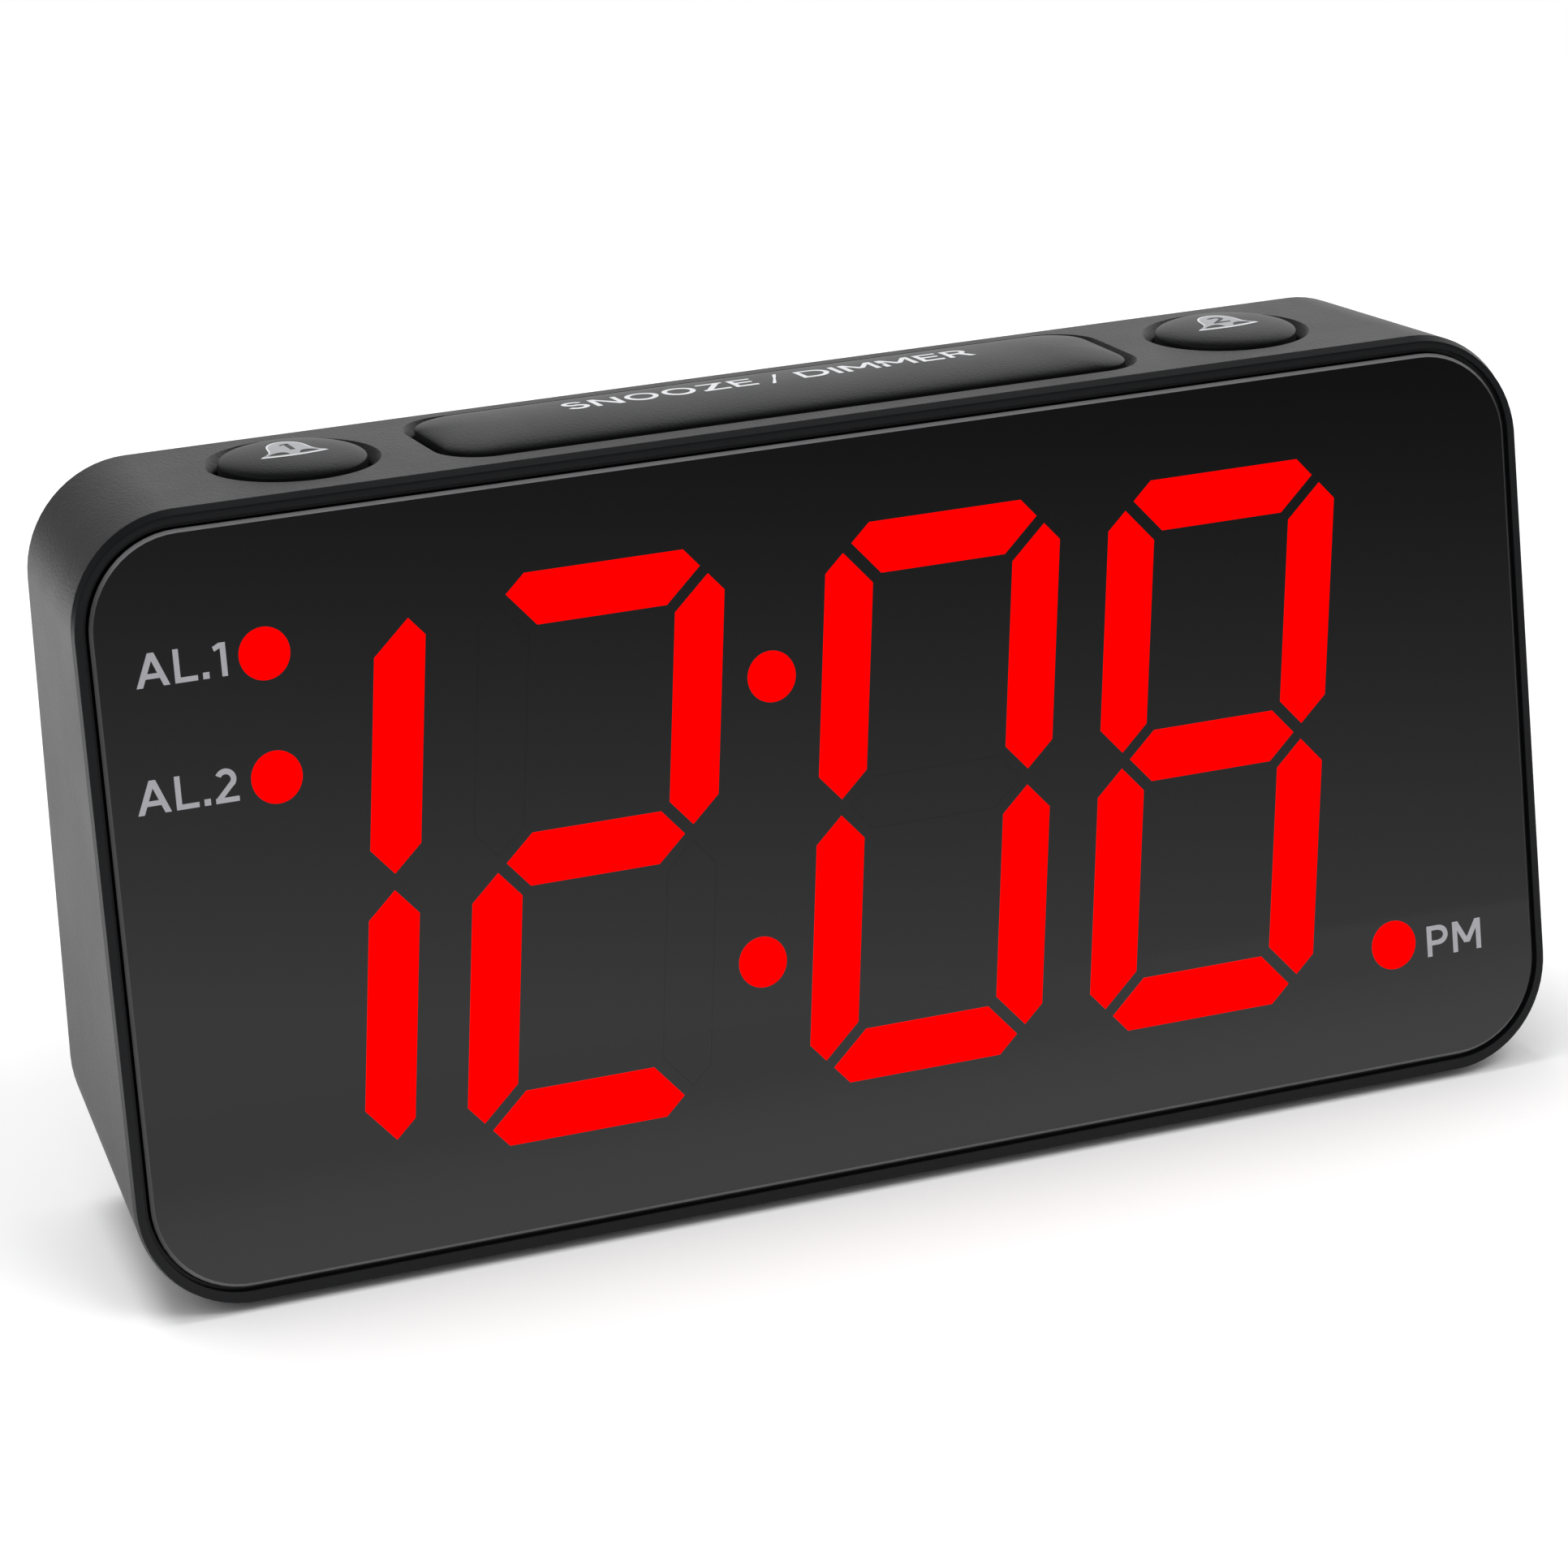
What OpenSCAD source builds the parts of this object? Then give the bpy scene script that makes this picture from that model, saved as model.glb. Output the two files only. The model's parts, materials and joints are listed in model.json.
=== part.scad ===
/* [Front face] */
// Width of the display panel
lens_w = 158.4; // [156:0.2:161]
// Height of the display panel along the leaning face
lens_h = 77.4; // [76:0.2:79]
// Corner radius of the display panel
lens_r = 9.8; // [8:0.1:11]
// Thickness of the display panel
lens_t = 1.5; // [1.2:0.1:1.8]
// How far the face leans back from upright, in degrees
lean = 11.9; // [10:0.1:13]
// Gap between the panel's edge and the front frame
groove_w = 0.45; // [0.3:0.05:0.5]

/* [Case] */
// Width of the case where it meets the front frame
case_w = 161.1; // [161:0.1:163]
// Height of the case where it meets the front frame
case_h = 80.6; // [80.4:0.1:82]
// Corner radius of the case at the front
case_r = 11.4; // [11:0.1:12.4]
// Width of the back
rear_w = 155.8; // [154:0.2:158]
// Depth of the case at the back's top edge
rear_top_y = 24.5; // [24:0.1:26]
// Height of the back's top edge above the middle of the face
rear_top_z = 43; // [42:0.1:44]
// Depth of the case at the back's bottom edge
rear_low_y = 30.2; // [29:0.1:32]
// Height of the back's bottom edge below the middle of the face
rear_low_z = 30; // [29:0.1:31]
// Corner radius of the back
rear_r = 11.1; // [10:0.1:12]
// Wall thickness of the case
wall = 2; // [1.8:0.1:2.2]
// Height of the front bottom edge above the table
front_gap = 0.9; // [0.6:0.1:1.4]

/* [Display] */
// Height of a digit
digit_h = 58.4; // [57:0.1:59]
// Distance between the centre lines of a digit's left and right bars
digit_span = 21.36; // [20:0.1:22]
// Width of a lit bar
bar_t = 5.4; // [5:0.1:5.8]
// Sideways lean of the digits, as a slope
slant = 0.122; // [0.1:0.002:0.14]
// Distance between neighbouring digits
digit_pitch = 32.44; // [32:0.04:33]
// Diameter of a round indicator
dot_d = 5.34; // [5:0.1:5.6]

/* [Top buttons] */
// Radius of an alarm button
alarm_r = 7.7; // [7:0.1:7.8]
// Distance of an alarm button from the middle
alarm_x = 53.1; // [52.6:0.1:54]
// Width of the snooze bar
snooze_w = 76.4; // [74:0.2:76.6]
// Depth of the snooze bar
snooze_d = 16.4; // [15:0.1:16.4]
// Travel of the alarm buttons
alarm_travel = 0.8; // [0.4:0.1:0.9]
// Travel of the snooze bar
snooze_travel = 0.9; // [0.4:0.1:0.9]

/* [Back] */
// Radius of a setting button on the back
set_r = 3.1; // [2.6:0.1:3.4]
// Travel of the setting buttons
set_travel = 0.6; // [0.3:0.1:0.7]
// Width of the battery door
door_w = 54; // [53:0.1:54]
// Height of the battery door
door_h = 27.6; // [27:0.1:27.6]
// Half the travel of the volume switch
volume_travel = 1.5; // [1:0.1:1.5]

/* [Hidden] */
$fn = 48;
FINE = 0.01;
SQ2 = sqrt(2);
frame_t = 1;                    // depth of the front frame's visible band
nose_y = 0.12;                  // depth of the frame's foremost edge, and its inset
nose_in = 0.95;
bevel = 0.35;                   // edge bevel of the display panel
tape_t = 0.2;                   // adhesive tape under the panel
tape_w = 2.4;
flange_y = lens_t + tape_t + 0.05;
flange_t = 1.5;
flange_back = flange_y + flange_t;
opening_w = 136;                // opening of the frame's flange, which the reflector fills
opening_h = 69;
reflector_w = opening_w - 2;
reflector_h = opening_h - 4;
groove_deep = 0.8;              // below this the frame holds the panel's edge closely
panel_gap = 0.1;
lip_t = 0.65;                   // the case's front lip, which the frame plugs into
lip_deep = flange_back + 0.15;
plug_gap = 0.05;
edge_r = 1.5;                   // rounding of the back's edges

rear_mid_y = (rear_top_y + rear_low_y) / 2;
rear_mid_z = (rear_top_z - rear_low_z) / 2;
rear_h = norm([rear_low_y - rear_top_y, rear_top_z + rear_low_z]);
rear_tilt = atan2(rear_low_y - rear_top_y, rear_top_z + rear_low_z);
top_tilt = atan2(rear_top_z - case_h / 2, rear_top_y - frame_t);
under_rise = atan2(case_h / 2 - rear_low_z, rear_low_y - frame_t) - lean;

// The face frame has its origin at the middle of the panel's outer face,
// X along the width, Y into the case and Z up the face.
face_z = case_h / 2 * cos(lean) + frame_t * sin(lean) + front_gap;
front_reach = (case_h / 2 - nose_in) * sin(lean) - nose_y * cos(lean);
back_lean = lean - rear_tilt;
back_reach = rear_top_y * cos(lean) + rear_top_z * sin(lean)
    - edge_r * (cos(back_lean) + sin(back_lean) - 1);
face_y = (front_reach - back_reach) / 2;

key_depth = 12.3;               // middle of the top buttons, back from the front frame
seat = 0.15;                    // clearance above a button's flange
flange_h = 1;                   // thickness of a button's flange
flange_out = 1.2;               // how far a flange reaches past its button
dish_depth = 0.9;               // depth of the dish around a top button
dish_out = 1.2;
hole_gap = 0.3;                 // gap round a button in its hole
snooze_r = 4.6;
plunger_top = -wall - seat - flange_h - 1;
plunger_len = 2.8;
plunger_r = 1.75;
switch_h = 3.5;
switch_w = 6;
board_t = 1.2;
key_board_top = -9;             // lift of the switch boards, from the outer surface
board_post_h = -wall - key_board_top + 0.4;
snooze_switch_x = 20;
key_post_x = 41.9;

led_board_y = 8.4;
reflector_t = 6.1;
reflector_y = lens_t + 0.15;
guide_len = 7.2;
fit_gap = 0.06;
guide_clear = 0.15;

post_x = 71;                    // posts of the case screws and of the display board
case_screw_z = [30, -22];
post_z = 7.5;
boss_back = 12;
post_r = 3.2;
tap_r = 1.1;
sunk = 5.5;                     // depth of the case screws' heads below the back

set_x = [14, 30, 46];           // setting buttons on the back, as seen from behind
set_y = 16;
set_proud = 0.8;
volume_at = [30, -4];
jack_at = [48, -22];
jack_hole_r = 4;
jack_bore_r = 2.75;
jack_pin_r = 1;
jack_pin_l = 5;
jack_w = 9;
jack_top = -1.2;
speaker_at = [-34, 13];
speaker_r = 11.5;
grille_step = 3.6;              // distance between the rings of the sound holes
bay_at = [-34, -15];
bay_w = 50;
bay_h = 23;
bay_floor = -12.8;
ledge_w = 60;
ledge_h = 31;
ledge_deep = 3.4;
rebate_gap = 0.25;
door_t = 1.6;
hinge_r = 1.3;
hinge_pin_r = 0.7;
hinge_y = bay_at[1] - door_h / 2 + hinge_r;
cell_r = 5.25;
cell_l = 44.5;
cell_z = -2.2 - cell_r;
cell_off = 1.8;                 // each cell's nub end sits against its own contact
spring_pitch = 1.15;
main_post = [[3, 20], [60, 20], [3, -28], [60, -28]];
main_x = [-2, 65];
main_y = [-32, 24];
wire_r = 0.45;
foot_r = 4;
foot_x = 62;
foot_sink = 0.9;
foot_chamfer = 0.3;

// Height of a foot's top at depth y: it is sunk a little into the sloping underside
function foot_top(y) = front_gap + (y - under_front) * tan(under_rise) + foot_sink;
under_front = face_y + frame_t * cos(lean) - case_h / 2 * sin(lean);
under_back = face_y + rear_low_y * cos(lean) - rear_low_z * sin(lean);
foot_front = under_front + 7.2;
foot_back = under_back - 5.6;

module face() translate([0, face_y, face_z]) rotate([-lean, 0, 0]) children();
module on_top() translate([0, frame_t, case_h / 2]) rotate([top_tilt, 0, 0])
    translate([0, key_depth, 0]) children();
module on_back() translate([0, rear_mid_y, rear_mid_z]) rotate([rear_tilt, 0, 0])
    rotate([90, 0, 180]) children();
// Stands an outline drawn in X and Z upright, from depth y back by t
module upright(y, t) translate([0, y + t, 0]) rotate([90, 0, 0]) linear_extrude(t) children();
module post(x, z, y0, y1, r) translate([x, y1, z]) rotate([90, 0, 0]) cylinder(h = y1 - y0, r = r);

module rounded(w, h, r) {
    square([w - 2 * r, h], center = true);
    square([w, h - 2 * r], center = true);
    for (x = [-1, 1], y = [-1, 1])
        translate([x * (w / 2 - r), y * (h / 2 - r)]) circle(r);
}

// A plate with a rounded outline whose lower edge all round is cut back by c
module bevelled(w, h, r, t, c) {
    translate([0, 0, c]) linear_extrude(t - c) rounded(w, h, r);
    linear_extrude(c) rounded(w - 2 * c, h - 2 * c, r - c);
    for (x = [-1, 1], y = [-1, 1])
        translate([x * (w / 2 - r), y * (h / 2 - r), 0]) cylinder(h = c, r1 = r - c, r2 = r);
    for (s = [0, 180]) rotate([0, 0, s]) {
        translate([w / 2 - r, 0, 0]) rotate([90, 0, 0]) linear_extrude(h - 2 * r, center = true)
            polygon([[0, 0], [r - c, 0], [r, c], [0, c]]);
        translate([0, h / 2 - r, 0]) rotate([90, 0, 90]) linear_extrude(w - 2 * r, center = true)
            polygon([[0, 0], [r - c, 0], [r, c], [0, c]]);
    }
}

// ---- the digits ------------------------------------------------------------------

reach = digit_h / 2;
half_span = digit_span / 2;
out_cut = 1.9;                  // outer bevel of a bar's end at a digit's corner
in_cut = bar_t - out_cut;
end_gap = 0.13;                 // a digit's end bars stop this far short of the side bars
centre_gap = 0.86;
end_apex = half_span - end_gap;
mid_apex = half_span - 0.93;
// Six corners of a bar that runs from a to b between lo and hi, with 45 degree points at
// heights pa and pb, grown by g all round
function bar_points(a, b, pa, pb, lo, hi, g) =
    let (s = a - g * SQ2, e = b + g * SQ2, l = lo - g, h = hi + g)
    [[s, pa], [s + h - pa, h], [e - h + pb, h], [e, pb], [e - pb + l, l], [s + pa - l, l]];
function flip(p) = [for (q = p) [q[1], q[0]]];
function turned(p) = [for (q = p) -q];
function sideways(p) = [for (q = p) [-q[0], q[1]]];
function leant(p, x) = [for (q = p) [x + q[0] + slant * q[1], q[1]]];
function bar_a(g) = bar_points(-end_apex, end_apex, reach - out_cut, reach - out_cut,
    reach - bar_t, reach, g);
function bar_b(g) = flip(bar_points(centre_gap, reach - 2.8, half_span, half_span + bar_t / 2 - out_cut,
    half_span - bar_t / 2, half_span + bar_t / 2, g));
function bar_g(g) = bar_points(-mid_apex, mid_apex, 0, 0, -bar_t / 2, bar_t / 2, g);
function up_down(p) = [for (q = p) [q[0], -q[1]]];
function bar_of(name, g) =
    name == "a" ? bar_a(g) :
    name == "b" ? bar_b(g) :
    name == "c" ? up_down(bar_b(g)) :
    name == "d" ? turned(bar_a(g)) :
    name == "e" ? turned(bar_b(g)) :
    name == "f" ? sideways(bar_b(g)) : bar_g(g);

colon_x = -9.7;
colon_z = 14.8;
hours_x = colon_x - 8.27 - half_span;
minutes_x = colon_x + 8.4 + half_span;
digit_x = [hours_x - digit_pitch, hours_x, minutes_x, minutes_x + digit_pitch];
LIT = ["bc", "abged", "abcdef", "abcdefg"];
DARK = ["", "cf", "g", ""];
alarm_1_at = [-61.6, 25];
alarm_2_at = [-61.6, 12.5];
pm_at = [62.1, -25.2];
dots = [alarm_1_at, alarm_2_at, pm_at, [colon_x + slant * colon_z, colon_z],
    [colon_x - slant * colon_z, -colon_z]];

module bars(table, g) for (n = [0:3], s = table[n]) polygon(leant(bar_of(s, g), digit_x[n]));
module dot(at, g = 0) translate(at) circle(dot_d / 2 + g);
module all_windows(g) {
    bars(LIT, g);
    bars(DARK, g);
    for (at = dots) dot(at, g);
}
module guide() face() upright(0, guide_len) children();

// ---- front ----------------------------------------------------------------------

module front_lens() color("#2b2b2d") face() difference() {
    rotate([-90, 0, 0]) bevelled(lens_w, lens_h, lens_r, lens_t, bevel);
    upright(-1, lens_t + 2) all_windows(fit_gap);
}

module lens_tape() color("#b9b9b0") face() upright(lens_t + 0.02, tape_t) difference() {
    rounded(lens_w - 2, lens_h - 2, lens_r - 1);
    rounded(lens_w - 2 - 2 * tape_w, lens_h - 2 - 2 * tape_w, lens_r - 1 - tape_w);
}

module inset_outline(inset) rounded(case_w - 2 * inset, case_h - 2 * inset, case_r - inset);
module frame_layer(y, inset) upright(y, FINE) inset_outline(inset);

module front_bezel() color("#232325") face() difference() {
    union() {
        hull() {
            frame_layer(nose_y, nose_in, $fn = 40);
            frame_layer(0.22, 0.5, $fn = 40);
            frame_layer(0.5, 0.16, $fn = 40);
            frame_layer(frame_t - 0.02, 0, $fn = 40);
        }
        upright(groove_deep, flange_back - groove_deep) inset_outline(lip_t + plug_gap);
        for (x = [-1, 1]) {
            for (z = case_screw_z) post(x * post_x, z, flange_back - 0.1, boss_back, post_r);
            for (z = [-1, 1])
                post(x * post_x, z * post_z, flange_back - 0.1, led_board_y - 0.05, 2.6);
        }
    }
    upright(-1, groove_deep + 1)
        rounded(lens_w + 2 * groove_w, lens_h + 2 * groove_w, lens_r + groove_w);
    upright(0, flange_y)
        rounded(lens_w + 2 * panel_gap, lens_h + 2 * panel_gap, lens_r + panel_gap);
    upright(flange_y - 1, flange_t + 2) rounded(opening_w, opening_h, 5);
    for (x = [-1, 1]) {
        for (z = case_screw_z) post(x * post_x, z, flange_back + 1, boss_back + 1, tap_r);
        for (z = [-1, 1]) post(x * post_x, z * post_z, flange_back - 0.5, led_board_y + 1, 0.9);
    }
}

module lit_segments() color("red") guide() bars(LIT, 0);
module unlit_segments() color("#2a1a1a") guide() bars(DARK, 0);
module colon_dots() color("red") guide() for (n = [3, 4]) dot(dots[n]);
module alarm_1_dot() color("red") guide() dot(alarm_1_at);
module alarm_2_dot() color("red") guide() dot(alarm_2_at);
module pm_dot() color("red") guide() dot(pm_at);

module reflector_block() color("#e4e4e0") face() difference() {
    upright(reflector_y, reflector_t) rounded(reflector_w, reflector_h, 3);
    upright(reflector_y - 1, reflector_t + 2) all_windows(guide_clear);
}

// ---- display board -----------------------------------------------------------------

function middle(p) = [for (k = [0, 1]) (p[0][k] + p[1][k] + p[2][k] + p[3][k] + p[4][k] + p[5][k]) / 6];
module led(at) translate(at) square([2.8, 2.6], center = true);

module display_leds() color("#f2e9c8") face() upright(led_board_y - 0.95, 0.9) {
    for (n = [0:3], s = str(LIT[n], DARK[n])) led(middle(leant(bar_of(s, 0), digit_x[n])));
    for (at = dots) led(at);
}

module display_board() color("#2f6b3c") face() difference() {
    upright(led_board_y, board_t) {
        square([reflector_w, reflector_h + 1], center = true);
        square([2 * post_x + 7, 24], center = true);
    }
    for (x = [-1, 1], z = [-1, 1])
        post(x * post_x, z * post_z, led_board_y - 1, led_board_y + 3, 1.3);
}

// A pan-head screw whose head lies at z = 0 and whose shank points down
module screw(head_r, head_h, shank_r, shank_l) {
    difference() {
        cylinder(h = head_h, r = head_r);
        translate([0, 0, head_h - 0.5]) linear_extrude(1) {
            square([head_r * 1.2, 0.5], center = true);
            square([0.5, head_r * 1.2], center = true);
        }
    }
    translate([0, 0, -shank_l]) cylinder(h = shank_l + FINE, r = shank_r);
}

module display_screws() color("#b8b8bc") face() for (x = [-1, 1], z = [-1, 1])
    translate([x * post_x, led_board_y + board_t + 0.02, z * post_z]) rotate([-90, 0, 0])
        screw(2.2, 1.4, 0.85, 4.5);

module led_drivers() color("#1d1d20") face() for (x = [-30, 30])
    translate([x, led_board_y + board_t + 0.03, 8]) {
        translate([-6, 0.2, -2.6]) cube([12, 1.8, 5.2]);
        for (n = [-4:4], s = [-1, 1])
            translate([n * 1.27 - 0.2, 0, s * 3.2 - 0.7]) cube([0.4, 0.6, 1.4]);
    }

// ---- case -------------------------------------------------------------------------

module back_layer(depth, inset) on_back() translate([0, 0, -depth])
    linear_extrude(FINE) rounded(rear_w - 2 * inset, rear_h - 2 * inset, rear_r - inset);

// Depth of the back's surface at height z up the face
function back_y(z) = rear_mid_y - (z - rear_mid_z) * tan(rear_tilt);

module case_skin() difference() {
    hull() {
        frame_layer(frame_t, 0, $fn = 40);
        back_layer(edge_r, 0, $fn = 40);
        back_layer(edge_r * 0.5, edge_r * 0.134, $fn = 40);
        back_layer(edge_r * 0.134, edge_r * 0.5, $fn = 40);
        back_layer(FINE, edge_r, $fn = 40);
    }
    hull() {
        frame_layer(frame_t - 0.5, wall, $fn = 40);
        back_layer(wall, wall, $fn = 40);
    }
    upright(frame_t - 1, lip_deep - frame_t + 1) inset_outline(lip_t);
}

// A hole for a button, with a dish that slopes down to it
module round_dish() {
    translate([0, 0, -wall - 2]) cylinder(h = wall + 4, r = alarm_r + hole_gap);
    translate([0, 0, -dish_depth])
        cylinder(h = dish_depth + FINE, r1 = alarm_r + hole_gap, r2 = alarm_r + dish_out);
}

module bar_dish() {
    hole_w = snooze_w + 2 * hole_gap;
    hole_d = snooze_d + 2 * hole_gap;
    grow = 2 * (dish_out - hole_gap);
    translate([0, 0, -wall - 2]) linear_extrude(wall + 4) rounded(hole_w, hole_d, snooze_r + hole_gap);
    hull() {
        translate([0, 0, -dish_depth]) linear_extrude(FINE, $fn = 32)
            rounded(hole_w, hole_d, snooze_r + hole_gap);
        linear_extrude(FINE, $fn = 32) rounded(hole_w + grow, hole_d + grow, snooze_r + dish_out);
    }
}

module rear_case() color("#4a4a4c") difference() {
    face() difference() {
        union() {
            case_skin();
            on_top() for (x = [-1, 1]) translate([x * key_post_x, 0, key_board_top + 0.05])
                cylinder(h = board_post_h, r = 2);
            for (x = [-1, 1], z = case_screw_z)
                post(x * post_x, z, boss_back + 0.1, back_y(z) - wall / 2, post_r + 0.6);
            on_back() {
                for (p = main_post) translate([p[0], p[1], key_board_top + 0.05])
                    cylinder(h = board_post_h, r = 2.2);
                translate([bay_at[0], bay_at[1], -ledge_deep]) linear_extrude(ledge_deep - wall / 2)
                    square([ledge_w, ledge_h], center = true);
                translate([bay_at[0], bay_at[1], bay_floor - 1.2]) linear_extrude(-bay_floor - 2)
                    square([bay_w + 2.8, bay_h + 2.8], center = true);
                translate([speaker_at[0], speaker_at[1], -wall - 2.4]) difference() {
                    cylinder(h = 3, r = speaker_r + 1.6);
                    translate([0, 0, -1]) cylinder(h = 5, r = speaker_r + 0.3);
                }
            }
        }
        on_top() {
            for (x = [-1, 1]) {
                translate([x * alarm_x, 0, 0]) round_dish();
                translate([x * key_post_x, 0, key_board_top - 1]) cylinder(h = 6, r = 0.8);
            }
            bar_dish();
        }
        for (x = [-1, 1], z = case_screw_z) {
            post(x * post_x, z, boss_back - 1, back_y(z) + 3, 1.6);
            post(x * post_x, z, back_y(z) - sunk - 0.05, back_y(z) + 3, 3);
        }
        on_back() {
            for (p = main_post) translate([p[0], p[1], key_board_top - 1]) cylinder(h = 6, r = 0.9);
            for (x = set_x) translate([x, set_y, -wall - 2])
                cylinder(h = wall + 4, r = set_r + hole_gap);
            translate([volume_at[0], volume_at[1], -wall - 2]) linear_extrude(wall + 4)
                square([2 * volume_travel + 3.8, 2.6], center = true);
            translate([jack_at[0], jack_at[1], -wall - 2]) cylinder(h = wall + 4, r = jack_hole_r);
            translate([bay_at[0], bay_at[1], bay_floor]) linear_extrude(20)
                square([bay_w, bay_h], center = true);
            translate([bay_at[0], bay_at[1], -door_t - 0.1]) linear_extrude(10)
                square([door_w + 2 * rebate_gap, door_h + 2 * rebate_gap], center = true);
            translate([bay_at[0], hinge_y, -hinge_r]) rotate([0, 90, 0]) {
                cylinder(h = door_w + 2 * rebate_gap, r = hinge_r + rebate_gap, center = true);
                cylinder(h = door_w + 4.4, r = hinge_pin_r + 0.08, center = true);
            }
            for (ring = [0:2], n = [0:max(0, 6 * ring - 1)])
                translate([speaker_at[0], speaker_at[1], -wall - 1])
                    rotate([0, 0, n * 60 / max(1, ring)]) translate([ring * grille_step, 0, 0])
                        cylinder(h = 6, r = 0.8);
        }
    }
    for (x = [-1, 1], y = [foot_front, foot_back]) translate([x * foot_x, y, -1])
        cylinder(h = foot_top(y) + 1.05, r = foot_r + 0.1);
}

module case_screws() color("#7d7d82") face() for (x = [-1, 1], z = case_screw_z)
    translate([x * post_x, back_y(z) - sunk, z]) rotate([-90, 0, 0]) screw(2.7, 1.8, 1, 14);

module feet_at(y) for (x = [-1, 1]) translate([x * foot_x, y, 0]) {
    translate([0, 0, foot_chamfer]) cylinder(h = foot_top(y) - foot_chamfer, r = foot_r);
    cylinder(h = foot_chamfer, r1 = foot_r - foot_chamfer, r2 = foot_r);
}
module front_feet() color("#161617") feet_at(foot_front);
module rear_feet() color("#161617") feet_at(foot_back);

// ---- push buttons -------------------------------------------------------------------

// A round button: cap of radius r whose shoulder stands `proud` above the surface and whose
// crown rises by `crown` more, with a flange under the wall and a stem down to its switch
module round_button(r, proud, crown) {
    ball = (r * r + crown * crown) / (2 * crown);
    translate([0, 0, -wall - seat - flange_h]) {
        cylinder(h = flange_h, r = r + flange_out);
        cylinder(h = wall + seat + flange_h + proud, r = r);
    }
    intersection() {
        translate([0, 0, proud + crown - ball]) sphere(ball, $fn = 96);
        translate([0, 0, proud - FINE]) cylinder(h = crown + 1, r = r);
    }
    translate([0, 0, plunger_top]) cylinder(h = 1.5, r = 2.4);
}

module alarm_button(side) color("#414143") face() on_top() translate([side * alarm_x, 0, 0])
    round_button(alarm_r, 0.2, 1);
module alarm_1_button() alarm_button(-1);
module alarm_2_button() alarm_button(1);

module snooze_bar() color("#414143") face() on_top() {
    hull() for (level = [[-wall, 0], [0.2, 0], [0.65, 0.5], [0.95, 1.6], [1.1, 3.6]])
        translate([0, 0, level[0]]) linear_extrude(FINE, $fn = 32)
            rounded(snooze_w - 2 * level[1], snooze_d - 2 * level[1], snooze_r - level[1] / 2);
    translate([0, 0, -wall - seat - flange_h]) {
        linear_extrude(flange_h) rounded(snooze_w + 1.6, snooze_d + 1.6, snooze_r + 0.8);
        linear_extrude(wall) rounded(snooze_w, snooze_d, snooze_r);
    }
    for (x = [-1, 1]) translate([x * snooze_switch_x, 0, plunger_top]) cylinder(h = 1.5, r = 2.4);
}

module set_button(n) color("#2e2e30") face() on_back() translate([set_x[n], set_y, 0])
    round_button(set_r, set_proud - 0.3, 0.3);
module time_button() set_button(0);
module hour_button() set_button(1);
module minute_button() set_button(2);

// The moving plunger of a push switch, hanging under the button's stem
module plunger() translate([0, 0, plunger_top - 0.02 - plunger_len])
    cylinder(h = plunger_len, r = plunger_r);
// The fixed body of a push switch on its board
module push_switch() translate([0, 0, key_board_top + 0.02]) difference() {
    linear_extrude(switch_h) square(switch_w, center = true);
    translate([0, 0, 0.4]) cylinder(h = switch_h, r = plunger_r + 0.15);
}

module alarm_1_plunger() color("#1b1b1d") face() on_top() translate([-alarm_x, 0, 0]) plunger();
module alarm_2_plunger() color("#1b1b1d") face() on_top() translate([alarm_x, 0, 0]) plunger();
module snooze_plungers() color("#1b1b1d") face() on_top() for (x = [-1, 1])
    translate([x * snooze_switch_x, 0, 0]) plunger();
module set_plunger(n) color("#1b1b1d") face() on_back() translate([set_x[n], set_y, 0]) plunger();
module time_plunger() set_plunger(0);
module hour_plunger() set_plunger(1);
module minute_plunger() set_plunger(2);

module top_switches() color("#9a9aa0") face() on_top()
    for (x = [-alarm_x, -snooze_switch_x, snooze_switch_x, alarm_x]) translate([x, 0, 0]) push_switch();
module rear_switches() color("#9a9aa0") face() on_back()
    for (x = set_x) translate([x, set_y, 0]) push_switch();

module key_board() color("#2f6b3c") face() on_top() translate([0, 0, key_board_top - board_t])
    linear_extrude(board_t) difference() {
        translate([-62, -4]) square([124, 11]);
        for (x = [-1, 1]) translate([x * key_post_x, 0]) circle(1.1);
    }

module key_board_screws() color("#b8b8bc") face() on_top() for (x = [-1, 1])
    translate([x * key_post_x, 0, key_board_top - board_t - 0.02]) rotate([180, 0, 0])
        screw(2, 1.2, 0.75, 4.5);

// ---- main board on the back ------------------------------------------------------------

module main_board() color("#2f6b3c") face() on_back() translate([0, 0, key_board_top - board_t])
    linear_extrude(board_t) difference() {
        translate([main_x[0], main_y[0]]) square([main_x[1] - main_x[0], main_y[1] - main_y[0]]);
        for (p = main_post) translate(p) circle(1.2);
    }

module main_board_screws() color("#b8b8bc") face() on_back() for (p = main_post)
    translate([p[0], p[1], key_board_top - board_t - 0.02]) rotate([180, 0, 0]) screw(2.2, 1.3, 0.85, 5);

module controller_chip() color("#1d1d20") face() on_back()
    translate([44, -2, key_board_top - board_t - 0.03]) rotate([180, 0, 0]) {
        translate([-5, -5, 0.2]) cube([10, 10, 1.5]);
        for (s = [0:90:270], n = [-4:4]) rotate([0, 0, s])
            translate([n * 1 - 0.2, 5, 0]) cube([0.4, 1.2, 0.5]);
    }

module clock_crystal() color("#c9c9cc") face() on_back()
    translate([54, 4, key_board_top - board_t - 1.35]) rotate([90, 0, 0]) cylinder(h = 6, r = 1.25);

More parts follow.
